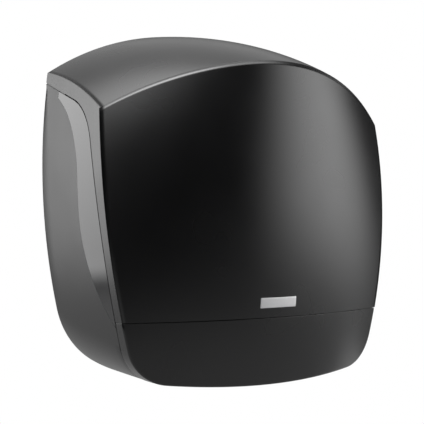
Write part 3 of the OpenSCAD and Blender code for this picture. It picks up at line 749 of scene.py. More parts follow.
def buildFrontCover():
    form = coverForm
    shell = shellFrom(meshFromGrids("frontCover", coverGrids()), bodyForm["wall"], form["rim"], form["fold"])
    return addMeshes(shell, [flangeMesh(seamTop, seamTop + form["flangeThick"]), keeperBlock()])


frontCover = buildFrontCover()
finishPiece(frontCover, coverAbs, "door", "cover_abs", "front_cover")
print("front cover:", len(frontCover.data.polygons), "faces")


# Lower front panel: chin, its return round the lower edge, flange, bosses and hinge arms

panelForm = {
    "rows": (10, 0.04), "foldRows": 10, "returnRows": (4, 0.07), "sides": 4, "corners": 20, "bottoms": 22,
    "fold": 1.4, "rim": 0.08, "bossR": 4.5, "bossDrop": 4, "bossEdge": 0.3,
    "armX": 50, "armThick": 5, "armEdge": 0.4, "armLift": 3, "armFoot": 2, "armSteps": 9,
    "eyeR": 5.5, "eyeBore": 2.05, "eyeSteps": 17,
}
hingeY, hingeZ = (frame["joints"][0]["pos_m"][i] / mm for i in (1, 2))


# The chin and its return round the lower edge, with a fold between them
def panelGrids():
    form = panelForm
    counts = (seamBelow, form["sides"], form["corners"], form["bottoms"])
    edge = outlineWhole(*counts, bodyForm["cornerR"])
    rear = outlineWhole(*counts, cornerRadius(-seamForm["foremostY"]))
    run = runAlong(edge)
    along = np.gradient(edge, run, axis=0)
    inward = np.stack([-along[:, 1], along[:, 0]], 1)
    inward[0], inward[-1] = (1, 0), (-1, 0)
    inner = edge + form["fold"] * inward
    upper = np.stack([(2 * run / run[-1] - 1) * inner[-1, 0], np.full(len(run), seamBelow)], 1)
    flat = upper + (inner - upper) * stepsTo(*form["rows"])[:, None, None]
    front = frontPoints(flat[..., 0], flat[..., 1])
    crease = frontPoints(edge[:, 0], edge[:, 1])
    rearEdge = np.stack([rear[:, 0], seamY(rear[:, 1], doorShift), rear[:, 1]], 1)
    turned = crease + form["fold"] * (rearEdge - crease) / np.linalg.norm(rearEdge - crease, axis=1)[:, None]
    t = np.linspace(0, 1, form["foldRows"] + 1)[:, None, None]
    soft = (1 - t) ** 2 * front[-1] + 2 * t * (1 - t) * crease + t**2 * turned
    back = turned + (rearEdge - turned) * stepsTo(*form["returnRows"])[:, None, None]
    return [front, soft, back]


# Hinge arm in (y, z): an eye on the pin, and a web that spreads to the chin
def armMesh(side):
    form, wall, x = panelForm, bodyForm["wall"], panelForm["armX"] + panelForm["armThick"]
    eye = arcPoints(hingeY, hingeZ, form["eyeR"], math.pi / 2, -math.pi / 2, form["eyeSteps"])
    foot = (-seamForm["foremostY"] - form["armFoot"], float(bottomZ(x)) + wall / 2)
    head = bodyForm["panelSeamZ"] - 2 * coverForm["flangeThick"]
    z = np.linspace(bodyForm["lowZ"] + form["armLift"], head, form["armSteps"])
    front = list(zip(frontY(x, z) + wall / 2, z))
    bore = circlePoints(hingeY, hingeZ, form["eyeBore"], boreSides)
    middle = side * (form["armX"] + form["armThick"] / 2)
    return sideMesh([eye + [foot] + front, bore], form["armThick"], form["armEdge"], middle)


def buildLowerPanel():
    form, thick = panelForm, coverForm["flangeThick"]
    shell = shellFrom(meshFromGrids("lowerFrontPanel", panelGrids()), bodyForm["wall"], form["rim"])
    low = seamBelow - thick - form["bossDrop"]
    ring = ringProfile(coverForm["screwBore"], form["bossR"], low, seamTop, form["bossEdge"])
    bosses = [turnedMesh("boss", ring, "z", (x, y, 0), boreSides) for x, y in flangeHoles]
    return addMeshes(shell, [flangeMesh(seamBelow - thick, seamBelow)] + bosses + [armMesh(-1), armMesh(1)])


lowerFrontPanel = buildLowerPanel()
finishPiece(lowerFrontPanel, coverAbs, "door", "cover_abs", "lower_front_panel")
print("lower front panel:", len(lowerFrontPanel.data.polygons), "faces")


# Side windows: thin curved lenses let into the housing

windowLook = {"rows": 56, "columns": 4, "leastWidth": 1.0, "rim": 0.3}


def windowGrid(side):
    fit, front = windowForm["fit"], housingShift + windowForm["fit"]
    low, high = windowSpan(front, fit, windowLook["leastWidth"])
    z = np.sort(np.append(np.linspace(low, high, windowLook["rows"]), windowTipZ(fit)))[:, None]
    across = np.linspace(0, 1, windowLook["columns"] + 1)
    rear = windowRearY(z, fit)
    y = rear + (seamY(z, front) - rear) * across
    return sidePoints(y, np.broadcast_to(z, y.shape), side)


for side, label in bothSides:
    sheet = meshFromGrids("window" + label, [windowGrid(side)])
    lens = shellFrom(sheet, windowForm["thick"], windowLook["rim"])
    finishPiece(lens, windowLens, "housing", "smoked_window", "window_" + label.lower())
print("windows: done")


# Rear housing: side walls and bottom in one shell, back plate, window ledges, rails, feet and bosses

housingForm = {
    "rim": 0.4, "rearBend": 0.8, "rearBendFrom": 24,
    "rearRows": (0, 2, 4.5, 8, 12, 15.7), "midRows": (24, 34, 53, 72),
    "wallLevels": 60, "lowSteps": 31, "fineSteps": 300, "tipShort": 0.05, "belowWindow": 2,
    "plateThick": 3, "plateRoom": 1.2, "plateBack": 0.2, "plateEdge": 0.4,
    "plateInset": 1.0, "plateStep": 1.2, "plateMiddle": 20, "plateTopZ": (90, 150),
    "plateSides": 30, "plateCorners": 20, "plateRise": 8, "plateTop": 25,
    "mountX": 100, "mountZ": 80, "mountBore": 2.75,
    "padR": 7.75, "padHigh": 6, "padEasing": 0.07, "padSides": 48,
    "railX": 66, "railThick": 3, "railTopZ": -128, "railEdge": 0.35, "railShort": 0.3, "railBack": 1,
    "railSteps": 9, "exitY": 12, "exitSteps": 25, "notchSteps": 4,
    "footZ": -147.785, "footThick": 4, "footWidth": 21, "footFrom": 13, "footTo": 93, "footEdge": 0.35,
    "footInset": 0.3, "footSteps": 9, "notchX": 84.3, "notchFrom": 15.7, "notchTo": 90.3,
    "bossEnd": 55.3, "bossR": 5.5, "bossEdge": 0.4, "pinBore": 2.05,
    "lockBossR": 11, "lockBossIn": 144.2, "lockBossEdge": 0.3, "lockBore": 7.55,
    "ledgeRows": 50, "ledgeLap": 1, "ledgeRim": 0.1,
    "tongueFrom": 0.2, "tongueLong": 38, "tongueRows": 12, "tongueLap": 1, "tongueShort": 0.2,
    "tongueIn": (0.7, 1.6),
}
# What the housing carries: its holes, pads and bosses take their places from these
spindleForm = {
    "z": 8, "plateR": 32, "plateFront": 5.5, "plateEdge": 0.35, "plateSides": 96,
    "boltR": 24, "bolts": (45, 135, 225, 315), "bore": 5.05,
    "axleR": 5, "axleFront": 112, "axleEdge": 0.5, "shoulderR": 9, "shoulderFront": 8.5,
    "washerFront": 9.7, "washerThick": 0.45, "washerWave": 0.35, "washerWaves": 3, "washerSides": 72,
    "washerFit": (0.15, 0.1), "clipFrom": 100.3, "clipThick": 0.8, "clipR": 8, "clipMouth": 3.8,
    "clipFit": 0.05, "clipEdge": 0.12, "grooveWidth": 1.1, "grooveR": 4,
}
barForm = {
    "from": 16, "long": 74, "wide": 18, "thick": 1.2, "edge": 0.12, "pitch": 3, "tooth": 3,
    "screwX": 78, "screws": 3, "screwBore": 1.55,
}
lockForm = {
    "y": -38, "z": 58, "proud": 0.6, "gap": 0.3,
    "sleeveLong": 17, "sleeveR": 7.5, "sleeveBore": 5.3, "sleeveEdge": 0.3, "sleeveSides": 72,
    "rimR": 10, "rimThick": 1.2, "rimRound": ((0, 0.7), (0.25, 0.3), (0.8, 0)),
    "threadPitch": 1.0, "threadDepth": 0.35, "threadShort": 4,
    "barrelR": 5.25, "barrelEdge": 0.3, "slotWide": 1.2, "slotTall": 7, "slotDeep": 4,
    "nutR": 11, "nutThick": 4, "nutEdge": 0.5, "keeperBend": 1.6, "keeperBendSteps": 7, "stripEdge": 0.25,
    "camThick": 2, "camLong": 18, "camWide": 8, "camEyeR": 5, "camEyeSteps": 33, "camBore": 1.55,
    "camCut": 1.2,
}
lockFaceX = float(sideX(lockForm["z"])) + lockForm["proud"]
barScrewY = [-barForm["from"] - barForm["long"] * (i + 0.5) / barForm["screws"]
             for i in range(barForm["screws"])]
boltTurns = [math.radians(a) for a in spindleForm["bolts"]]
spindleBolts = [(spindleForm["boltR"] * math.cos(t), spindleForm["z"] + spindleForm["boltR"] * math.sin(t))
                for t in boltTurns]
mountPlaces = [(sx * housingForm["mountX"], sz * housingForm["mountZ"]) for sx in (-1, 1) for sz in (-1, 1)]


def housingFront(z):  # front edge of the side wall: the window's rear edge or the seam
    return np.maximum(seamY(z, housingShift), windowRearY(z, 0))


# Right half of the wall at a depth: the levels that the windows need, then even steps to the exit's notch
def wallOutline(y):
    form, fine = housingForm, housingForm["fineSteps"]
    low, high = windowSpan(housingShift, 0, 0)
    tip = seamForm["wallZ"] - housingShift / math.cos(seamFall) - form["tipShort"]
    levels = np.linspace(tip, low - form["belowWindow"], form["wallLevels"])
    z = np.sort(np.concatenate([levels, [low, high, windowTipZ(0)]]))[::-1]
    line = outlineHalf(tip, fine, fine, fine, cornerRadius(y))
    run = runAlong(line)
    below = line[:, 1] < 0
    ends = (np.interp(-z[-1], -line[:, 1], run), np.interp(-form["notchX"], -line[below, 0], run[below]))
    at = np.concatenate([np.interp(-z, -line[:, 1], run), np.linspace(*ends, form["lowSteps"])[1:]])
    return np.stack([np.interp(at, run, line[:, 0]), np.interp(at, run, line[:, 1])], 1)


# How far the walls bend in towards the room's wall
def rearBend(depth):
    return housingForm["rearBend"] * max(1 - depth / housingForm["rearBendFrom"], 0) ** 2


def housingGrids():
    form = housingForm
    rearRows = form["rearRows"]
    front = -float(seamY(wallOutline(-seamForm["foremostY"])[-1, 1], housingShift))
    depths = [*rearRows, *form["midRows"], form["notchTo"], front]
    walls = np.array([wallOutline(-depth) for depth in depths])
    y = housingFront(walls[..., 1]) * np.array(depths)[:, None] / front
    y[:, -1] = -np.array(depths)
    for wall, depth in zip(walls, depths):
        along = np.gradient(wall, axis=0)
        along[-1] = (-1, 0)
        inward = np.stack([along[:, 1], -along[:, 0]], 1)
        wall += rearBend(depth) * inward / np.linalg.norm(inward, axis=1)[:, None]
    grids = [np.stack([side * walls[..., 0], y, walls[..., 1]], -1) for side in (-1, 1)]
    notch = np.linspace(form["notchX"], form["railX"], form["notchSteps"])
    middle = np.linspace(-form["railX"], form["railX"], form["exitSteps"])
    exitRows = [row for row in rearRows if row <= form["exitY"]]
    strips = ((notch, rearRows), (-notch, rearRows), (middle, exitRows),
              (notch, depths[-2:]), (-notch, depths[-2:]))
    for x, rows in strips:
        lines = [np.stack([x, np.full_like(x, -row), undersideZ(x, -row) + rearBend(row)], 1) for row in rows]
        grids.append(np.array(lines))
    return grids


# Back plate: inside the walls below, and inside the door's top and sides above the seam
def plateMesh():
    form, room = housingForm, bodyForm["wall"] + housingForm["plateRoom"]
    step = seamForm["wallZ"] - form["plateStep"]
    corners = form["plateCorners"]
    low = outlineHalf(step, form["plateSides"], corners, corners, bodyForm["cornerWallR"])
    towards = low - np.array([0, form["plateMiddle"]])
    low = low - form["plateInset"] * towards / np.linalg.norm(towards, axis=1)[:, None]

    def over(z):  # how far a corner at this level stands above the door's top
        return z - float(topZ(float(sideX(z)) - room, 0.0)) + room

    rise = np.linspace(step, crossing(over, *form["plateTopZ"]), form["plateRise"])
    up = np.stack([sideX(rise) - room, rise], 1)
    x = np.linspace(1, 0, form["plateTop"]) * up[-1, 0]
    top = np.stack([x, topZ(x, 0.0) - room], 1)
    half = np.concatenate([low[::-1], up, top[1:]])
    outline = np.concatenate([half, half[-2:0:-1] * [-1, 1]])
    holes = [circlePoints(x, z, form["mountBore"]) for x, z in mountPlaces]
    holes += [circlePoints(x, z, barForm["screwBore"], holeSides) for x, z in spindleBolts]
    holes.append(circlePoints(0, spindleForm["z"], spindleForm["bore"]))
    thick = form["plateThick"] - form["plateBack"]
    return faceMesh([outline.tolist()] + holes, thick, form["plateEdge"], -form["plateBack"] - thick / 2)


# The steps behind a window's edges that the lens is bonded to, and a tongue behind the seam's upper end
def ledgeMeshes(side):
    form, ledge = housingForm, windowForm["ledge"]
    low, high = windowSpan(housingShift, 0, 2 * ledge)
    z = np.linspace(low, high, form["ledgeRows"])[:, None]
    across = np.array([0.0, 1.0])
    seat = windowForm["thick"] + windowForm["fit"]
    rear = windowRearY(z, 0) + form["ledgeLap"] - (ledge + form["ledgeLap"]) * across
    front = seamY(z, housingShift) + ledge * (1 - across)
    bands = [(y, z + 0 * y, seat, bodyForm["wall"] - seat) for y in (rear, front)]
    y = np.linspace(-form["tongueFrom"], -form["tongueLong"], form["tongueRows"])[:, None] + 0 * across
    under, over = seamZ(y, housingShift + form["tongueLap"]), seamZ(y, doorShift + form["tongueShort"])
    bands.append((y, under + (over - under) * across, *form["tongueIn"]))
    meshes = []
    for y, z, inset, thick in bands:
        grid = sidePoints(y, z, side)
        grid[..., 0] -= side * inset
        meshes.append(takeMesh(shellFrom(meshFromGrids("ledge", [grid]), thick, form["ledgeRim"])))
    return meshes


# Guide rail beside the exit, in (y, z), with a notch for the tear bar and a hole for the hinge pin
def railMesh(side):
    form, middle = housingForm, housingForm["railX"] + housingForm["railThick"] / 2
    low = float(bottomZ(middle)) + bodyForm["wall"] / 2
    z = np.linspace(form["railTopZ"], low, form["railSteps"])
    outline = [(-form["railBack"], low), (-form["railBack"], form["railTopZ"])]
    outline += list(zip(seamY(z, housingShift) + form["railShort"], z))
    outline += [(-form["notchTo"], low), (-form["notchTo"], form["footZ"]),
                (-form["notchFrom"], form["footZ"]), (-form["notchFrom"], low)]
    hole = circlePoints(hingeY, hingeZ, form["pinBore"], boreSides)
    return sideMesh([outline, hole], form["railThick"], form["railEdge"], side * middle)


# The pad that the tear bar is screwed to, and the walls of the pocket that it sits in
def footMeshes(side):
    form, inset = housingForm, housingForm["footInset"]
    inner, outer = form["railX"], form["railX"] + form["footWidth"]
    back, front, top = form["footFrom"], form["footTo"], form["footZ"] + form["footThick"] / 2
    corners = [(side * x, -y) for x, y in ((inner, back), (outer, back), (outer, front), (inner, front))]
    holes = [circlePoints(side * barForm["screwX"], y, barForm["screwBore"], holeSides) for y in barScrewY]
    meshes = [moved(flatMesh([corners] + holes, form["footThick"], form["footEdge"]), offset(0, 0, top))]
    walls = ((form["notchX"], np.linspace(back, front, form["footSteps"])),
             (inner + inset, (back + inset, form["notchFrom"])),
             (inner + inset, (form["notchTo"], front - inset)))
    for start, depths in walls:
        x, rings = np.array([start, outer - inset]), []
        for depth in depths:
            z = undersideZ(x, -depth) + bodyForm["wall"] / 2
            rings.append([(side * x[0], -depth, z[0]), (side * x[1], -depth, z[1]),
                          (side * x[1], -depth, top), (side * x[0], -depth, top)])
        meshes.append(loftMesh(rings))
    return meshes


# Geometry Nodes: a tree with named inputs, and a run of it that gives a plain mesh

def newTree(name, sizes):
    tree = bpy.data.node_groups.new(name, "GeometryNodeTree")
    tree.interface.new_socket("Geometry", in_out="INPUT", socket_type="NodeSocketGeometry")
    for label, kind in sizes.items():
        tree.interface.new_socket(label, in_out="INPUT", socket_type="NodeSocket" + kind)
    tree.interface.new_socket("Geometry", in_out="OUTPUT", socket_type="NodeSocketGeometry")
    return tree, tree.nodes.new("NodeGroupInput").outputs


def closeTree(tree, geometry, material):
    whole = addNode(tree, "GeometryNodeRealizeInstances", Geometry=geometry)
    coated = addNode(tree, "GeometryNodeSetMaterial", Geometry=whole, Material=material)
    addNode(tree, "NodeGroupOutput", Geometry=coated)


def runTree(name, mesh, tree, values):
    piece = newObject(name, mesh)
    modifier = piece.modifiers.new("nodes", "NODES")
    modifier.node_group = tree
    for item in tree.interface.items_tree:
        if item.in_out == "INPUT" and item.name in values:
            modifier[item.identifier] = values[item.name]
    settle(piece)
    return piece


def pointMesh(points):
    mesh = bpy.data.meshes.new("points")
    mesh.from_pydata([Vector(p) * mm for p in points], [], [])
    return mesh


# A disc from z = 0 up whose upper edge is rounded off; easing is how far its radius falls at the top
def addDisc(tree, radius, height, easing, vertices, rows=8, late=7.0):
    disc = addNode(tree, "GeometryNodeMeshCylinder", Vertices=vertices, Side_Segments=rows, Radius=radius,
                   Depth=height)
    position = addNode(tree, "GeometryNodeInputPosition")
    place = addNode(tree, "ShaderNodeSeparateXYZ", Vector=position)
    part = addNode(tree, "ShaderNodeMath", {"operation": "DIVIDE"}, i0=place.outputs["Z"], i1=height)
    rise = addNode(tree, "ShaderNodeMath", {"operation": "ADD"}, i0=part, i1=0.5)
    bent = addNode(tree, "ShaderNodeMath", {"operation": "POWER"}, i0=rise, i1=late)
    keep = addNode(tree, "ShaderNodeMath", {"operation": "MULTIPLY_ADD"}, i0=bent, i1=-easing, i2=1.0)
    wide = addNode(tree, "ShaderNodeCombineXYZ", X=keep, Y=keep, Z=1.0)
    drawn = addNode(tree, "ShaderNodeVectorMath", {"operation": "MULTIPLY"}, i0=position, i1=wide)
    shaped = addNode(tree, "GeometryNodeSetPosition", Geometry=disc, Position=drawn)
    half = addNode(tree, "ShaderNodeMath", {"operation": "MULTIPLY"}, i0=height, i1=0.5)
    lift = addNode(tree, "ShaderNodeCombineXYZ", Z=half)
    return addNode(tree, "GeometryNodeTransform", Geometry=shaped, Translation=lift)


# Cuts a straight hole into the middle of a disc; height is the cutter's, and middle its middle
def addBore(tree, disc, radius, height, middle, vertices):
    tool = addNode(tree, "GeometryNodeMeshCylinder", Vertices=vertices, Radius=radius, Depth=height)
    lift = addNode(tree, "ShaderNodeCombineXYZ", Z=middle)
    placed = addNode(tree, "GeometryNodeTransform", Geometry=tool, Translation=lift)
    return addNode(tree, "GeometryNodeMeshBoolean", {"operation": "DIFFERENCE", "solver": "EXACT"},
                   Mesh_1=disc, Mesh_2=placed)


def buildPadTree(easing, sides, through=0.1):  # through is longer than any pad, in metres
    tree, given = newTree("mountPads", {"Radius": "Float", "Height": "Float", "Bore": "Float",
                                        "Rotation": "Vector", "Material": "Material"})
    disc = addDisc(tree, given["Radius"], given["Height"], easing, sides)
    pad = addBore(tree, disc, given["Bore"], through, 0.0, sides)
    pads = addNode(tree, "GeometryNodeInstanceOnPoints", Points=given["Geometry"], Instance=pad,
                   Rotation=given["Rotation"])
    closeTree(tree, pads, given["Material"])
    return tree


def padMesh():  # round pads that the wall screws' heads rest on
    form = housingForm
    places = pointMesh([(x, -form["plateBack"], z) for x, z in mountPlaces])
    sizes = {"Radius": form["padR"] * mm, "Height": (form["padHigh"] - form["plateBack"]) * mm,
             "Bore": form["mountBore"] * mm, "Rotation": (math.pi / 2, 0, 0), "Material": housingAbs}
    return takeMesh(runTree("pads", places, buildPadTree(form["padEasing"], form["padSides"]), sizes))


def buildHousing():
    form = housingForm
    shell = shellFrom(meshFromGrids("rearHousing", housingGrids()), bodyForm["wall"], form["rim"])
    inner = [plateMesh(), padMesh()]
    for side in (-1, 1):
        inner += [railMesh(side)] + footMeshes(side) + ledgeMeshes(side)
        ends = sorted((side * form["bossEnd"], side * (form["railX"] + form["railThick"] / 2)))
        ring = ringProfile(form["pinBore"], form["bossR"], *ends, form["bossEdge"])
        inner.append(turnedMesh("boss", ring, "x", (0, hingeY, hingeZ), pinSides))
    ring = ringProfile(form["lockBore"], form["lockBossR"], form["lockBossIn"], lockFaceX,
                       form["lockBossEdge"])
    inner.append(turnedMesh("lockBoss", ring, "x", (0, lockForm["y"], lockForm["z"])))
    return addMeshes(shell, inner)


rearHousing = buildHousing()
finishPiece(rearHousing, housingAbs, "housing", "housing_abs", "rear_housing")
print("rear housing:", len(rearHousing.data.polygons), "faces")


# Badge plate: a bare curved plate let into the cover

badgeForm = {"wide": 37, "high": 8.5, "z": -85.3, "proud": 0.3, "let": 0.5, "rim": 0.2,
             "columns": 21, "rows": 7}


def badgeGrid(tip=0.1):
    form = badgeForm
    x, z = np.meshgrid(np.linspace(-0.5, 0.5, form["columns"]) * form["wide"],
                       form["z"] + np.linspace(-0.5, 0.5, form["rows"]) * form["high"])
    slopeX = (frontY(x + tip, z) - frontY(x - tip, z)) / (2 * tip)
    slopeZ = (frontY(x, z + tip) - frontY(x, z - tip)) / (2 * tip)
    out = np.stack([slopeX, -np.ones_like(x), slopeZ], -1)
    lift = form["proud"] * out / np.linalg.norm(out, axis=-1, keepdims=True)
    grid = frontPoints(x, z) + lift
    grid[..., 0], grid[..., 2] = x, z
    return grid


badgeThick = badgeForm["proud"] + badgeForm["let"]
badgePlate = shellFrom(meshFromGrids("badgePlate", [badgeGrid()]), badgeThick, badgeForm["rim"])
finishPiece(badgePlate, badgeMetal, "door", "badge_metal", "badge_plate")


# Roll spindle, in order from the wall forwards

def spunY(name, profile, sides=turnedSides):  # a turned piece about the spindle; depths count from the wall
    return turnedMesh(name, [(r, -y) for r, y in profile], "y", (0, 0, spindleForm["z"]), sides)


def clipOutline(x, y, outer, inner, mouth, steps=41, most=0.999):  # open ring, its mouth downwards
    wide, narrow = math.asin(mouth / outer), math.asin(min(mouth / inner, most))
    right, left = -math.pi / 2, 1.5 * math.pi
    outside = arcPoints(x, y, outer, right + wide, left - wide, steps)
    return outside + arcPoints(x, y, inner, left - narrow, right + narrow, steps)


def washerMesh():  # spring washer with waves round it
    form, sides = spindleForm, spindleForm["washerSides"]
    middle, half = (form["shoulderFront"] + form["washerFront"]) / 2, form["washerThick"] / 2
    inner, outer = form["bore"] + form["washerFit"][0], form["shoulderR"] - form["washerFit"][1]
    bm = bmesh.new()
    rings = []
    for r, face in ((inner, half), (outer, half), (outer, -half), (inner, -half)):
        ring = []
        for i in range(sides):
            t = 2 * math.pi * i / sides
            y = -middle + form["washerWave"] * math.cos(form["washerWaves"] * t) + face
            ring.append(bm.verts.new(Vector((r * math.cos(t), y, form["z"] + r * math.sin(t))) * mm))
        rings.append(ring)
    for one, two in zip(rings, rings[1:] + rings[:1]):
        for i in range(sides):
            bm.faces.new((one[i - 1], one[i], two[i], two[i - 1]))
    return closedMesh("washer", bm)


def spindlePlateMesh():
    form, back, front = spindleForm, housingForm["plateThick"], spindleForm["plateFront"]
    outlines = [circlePoints(0, form["z"], form["plateR"], form["plateSides"]),
                circlePoints(0, form["z"], form["bore"])]
    outlines += [circlePoints(x, z, barForm["screwBore"], holeSides) for x, z in spindleBolts]
    return faceMesh(outlines, front - back, form["plateEdge"], -(front + back) / 2)


def axleMesh():
    form = spindleForm
    r, shoulder, groove, e = form["axleR"], form["shoulderR"], form["grooveR"], form["axleEdge"]
    plate, face, end = form["plateFront"], form["shoulderFront"], form["axleFront"]
    grooveFrom, grooveTo = form["clipFrom"], form["clipFrom"] + form["grooveWidth"]
    return spunY("axle", [
        (0, 0), (r - e, 0), (r, e), (r, plate),
        (shoulder - e, plate), (shoulder, plate + e), (shoulder, face - e), (shoulder - e, face), (r, face),
        (r, grooveFrom), (groove, grooveFrom), (groove, grooveTo), (r, grooveTo),
        (r, end - 2 * e), (r - e, end - e / 2), (r - 2 * e, end), (0, end)])


def hubClipMesh():
    form = spindleForm
    ring = clipOutline(0, form["z"], form["clipR"], form["grooveR"] + form["clipFit"], form["clipMouth"])
    return faceMesh([ring], form["clipThick"], form["clipEdge"], -form["clipFrom"] - form["clipThick"] / 2)


finishMesh("spindlePlate", spindlePlateMesh(), zincSteel, "housing", "zinc_steel", "spindle_plate")
finishMesh("spindleAxle", axleMesh(), turnedSteel, "housing", "turned_steel", "spindle_axle")
finishMesh("dragWasher", washerMesh(), springSteel, "housing", "spring_steel", "drag_washer")
finishMesh("hubClip", hubClipMesh(), springSteel, "housing", "spring_steel", "hub_clip")


# Roll hub: a flanged tube with webs round its core

hubForm = {
    "back": 10, "front": 100, "r": 27.5, "wall": 2.2, "flangeR": 42, "coreR": 10.2, "bore": 8.025,
    "sides": 80, "webs": 6, "webShort": 8, "webLap": 0.5, "bushR": 8, "bushLong": 12, "edge": 0.5,
}


def buildHubTree():
    tree, given = newTree("rollHub", {"Webs": "Int", "Thickness": "Float", "Inner": "Float", "Outer": "Float",
                                      "Length": "Float", "Back": "Float", "Height": "Float",
                                      "Material": "Material"})
    points = addNode(tree, "GeometryNodePoints", Count=given["Webs"])
    turn = addNode(tree, "ShaderNodeMath", {"operation": "DIVIDE"}, i0=2 * math.pi, i1=given["Webs"])
    index = addNode(tree, "GeometryNodeInputIndex")
    angle = addNode(tree, "ShaderNodeMath", {"operation": "MULTIPLY"}, i0=index, i1=turn)
    spin = addNode(tree, "ShaderNodeCombineXYZ", Y=angle)
    wide = addNode(tree, "ShaderNodeMath", {"operation": "SUBTRACT"}, i0=given["Outer"], i1=given["Inner"])
    size = addNode(tree, "ShaderNodeCombineXYZ", X=wide, Y=given["Length"], Z=given["Thickness"])
    web = addNode(tree, "GeometryNodeMeshCube", Size=size, Vertices_X=2, Vertices_Y=2, Vertices_Z=2)
    total = addNode(tree, "ShaderNodeMath", {"operation": "ADD"}, i0=given["Outer"], i1=given["Inner"])
    middle = addNode(tree, "ShaderNodeMath", {"operation": "MULTIPLY"}, i0=total, i1=0.5)
    deep = addNode(tree, "ShaderNodeMath", {"operation": "MULTIPLY_ADD"}, i0=given["Length"], i1=-0.5,
                   i2=given["Back"])
    out = addNode(tree, "ShaderNodeCombineXYZ", X=middle, Y=deep)
    placed = addNode(tree, "GeometryNodeTransform", Geometry=web, Translation=out)
    webs = addNode(tree, "GeometryNodeInstanceOnPoints", Points=points, Instance=placed, Rotation=spin)
    lift = addNode(tree, "ShaderNodeCombineXYZ", Z=given["Height"])
    raised = addNode(tree, "GeometryNodeTransform", Geometry=webs, Translation=lift)
    whole = addNode(tree, "GeometryNodeJoinGeometry")
    for part in (given["Geometry"], raised):
        setInputs(tree, whole, Geometry=part)
    closeTree(tree, whole, given["Material"])
    return tree


def buildHub():
    form = hubForm
    back, front, r, wall, e = form["back"], form["front"], form["r"], form["wall"], form["edge"]
    rim, core, bore, floor = form["flangeR"], form["coreR"], form["bore"], back + wall
    tube = [
        (bore, back), (rim - e, back), (rim, back + e), (rim, floor - e), (rim - e, floor), (r + e, floor),
        (r, floor + e), (r, front - e), (r - e, front), (r - wall + e, front), (r - wall, front - e),
        (r - wall, floor), (core, floor), (core, front - e), (core - e, front), (bore + e, front),
        (bore, front - e)]
    sizes = {"Webs": form["webs"], "Thickness": wall * mm, "Inner": (core - form["webLap"]) * mm,
             "Outer": (r - wall / 2) * mm, "Length": (front - back - form["webShort"]) * mm,
             "Back": -back * mm, "Height": spindleForm["z"] * mm, "Material": hubPlastic}
    hub = runTree("rollHub", spunY("hub", tube, form["sides"]), buildHubTree(), sizes)
    sharpen(hub.data)
    finishPiece(hub, hubPlastic, "hub", "hub_plastic", "roll_hub")
    for label, start in (("Rear", back), ("Front", front - form["bushLong"])):
        ring = ringProfile(spindleForm["bore"], form["bushR"], start, start + form["bushLong"], e)
        name, node = "hubBush" + label, "hub_bush_" + label.lower()
        finishMesh(name, spunY(name, ring), bushNylon, "hub", "bush_nylon", node)


buildHub()
print("spindle and hub: done")


# Tear bars: toothed steel strips under the exit's feet

def barMesh(side):
    form, root = barForm, housingForm["railX"]
    back, tip = root + form["wide"], root - form["tooth"]
    start, end = -form["from"], -form["from"] - form["long"]
    outline = [(back, start), (root, start)]
    for i in range(int(form["long"] // form["pitch"])):
        outline += [(tip, start - (i + 0.5) * form["pitch"]), (root, start - (i + 1) * form["pitch"])]
    outline += [(root, end), (back, end)]
    holes = [circlePoints(form["screwX"], y, form["screwBore"], holeSides) for y in barScrewY]
    outlines = [[(side * x, y) for x, y in line] for line in [outline] + holes]
    low = housingForm["footZ"] - form["thick"] / 2
    return moved(flatMesh(outlines, form["thick"], form["edge"]), offset(0, 0, low))


for side, label in bothSides:
    finishMesh("tearBar" + label, barMesh(side), bladeSteel, "housing", "blade_steel",
               "tear_bar_" + label.lower())


# Hinge pins and their clips

pinForm = {
    "tip": 48.1, "r": 2, "edge": 0.3, "headFrom": 69, "headThick": 1.5, "headR": 3.5,
    "grooveFrom": 48.9, "grooveWidth": 0.8, "grooveR": 1.5,
    "clipR": 4, "clipMouth": 1.4, "clipFit": 0.05, "clipEdge": 0.1,
}


def pinMesh(side):
    form = pinForm
    r, e, head, groove = form["r"], form["edge"], form["headR"], form["grooveR"]
    tip, neck, end = form["tip"], form["headFrom"], form["headFrom"] + form["headThick"]
    grooveFrom, grooveTo = form["grooveFrom"], form["grooveFrom"] + form["grooveWidth"]
    profile = [
        (0, tip), (r - e, tip), (r, tip + e),
        (r, grooveFrom), (groove, grooveFrom), (groove, grooveTo), (r, grooveTo),
        (r, neck), (head, neck), (head, end - 2 * e), (head - e, end - e / 2), (head - 3 * e, end), (0, end)]
    return turnedMesh("pin", [(a, side * b) for a, b in profile], "x", (0, hingeY, hingeZ), pinSides)


def hingeClipMesh(side):
    form = pinForm
    ring = clipOutline(hingeY, hingeZ, form["clipR"], form["grooveR"] + form["clipFit"], form["clipMouth"])
    middle = side * (form["grooveFrom"] + form["grooveWidth"] / 2)
    return sideMesh([ring], form["grooveWidth"], form["clipEdge"], middle)


for side, label in bothSides:
    finishMesh("hingePin" + label, pinMesh(side), pinSteel, "housing", "turned_steel",
               "hinge_pin_" + label.lower())
hingeClips = joined("hingeClips", [hingeClipMesh(-1), hingeClipMesh(1)])
finishMesh("hingeClips", hingeClips, springSteel, "housing", "spring_steel", "hinge_clips")
print("exit and hinge: done")


# Key lock on the right side, with its cam and the keeper in the door

lockOuterX = lockFaceX + lockForm["rimThick"]
lockBackX = lockFaceX - lockForm["sleeveLong"]


def lockSpun(name, profile, sides=turnedSides):
    return turnedMesh(name, profile, "x", (0, lockForm["y"], lockForm["z"]), sides)


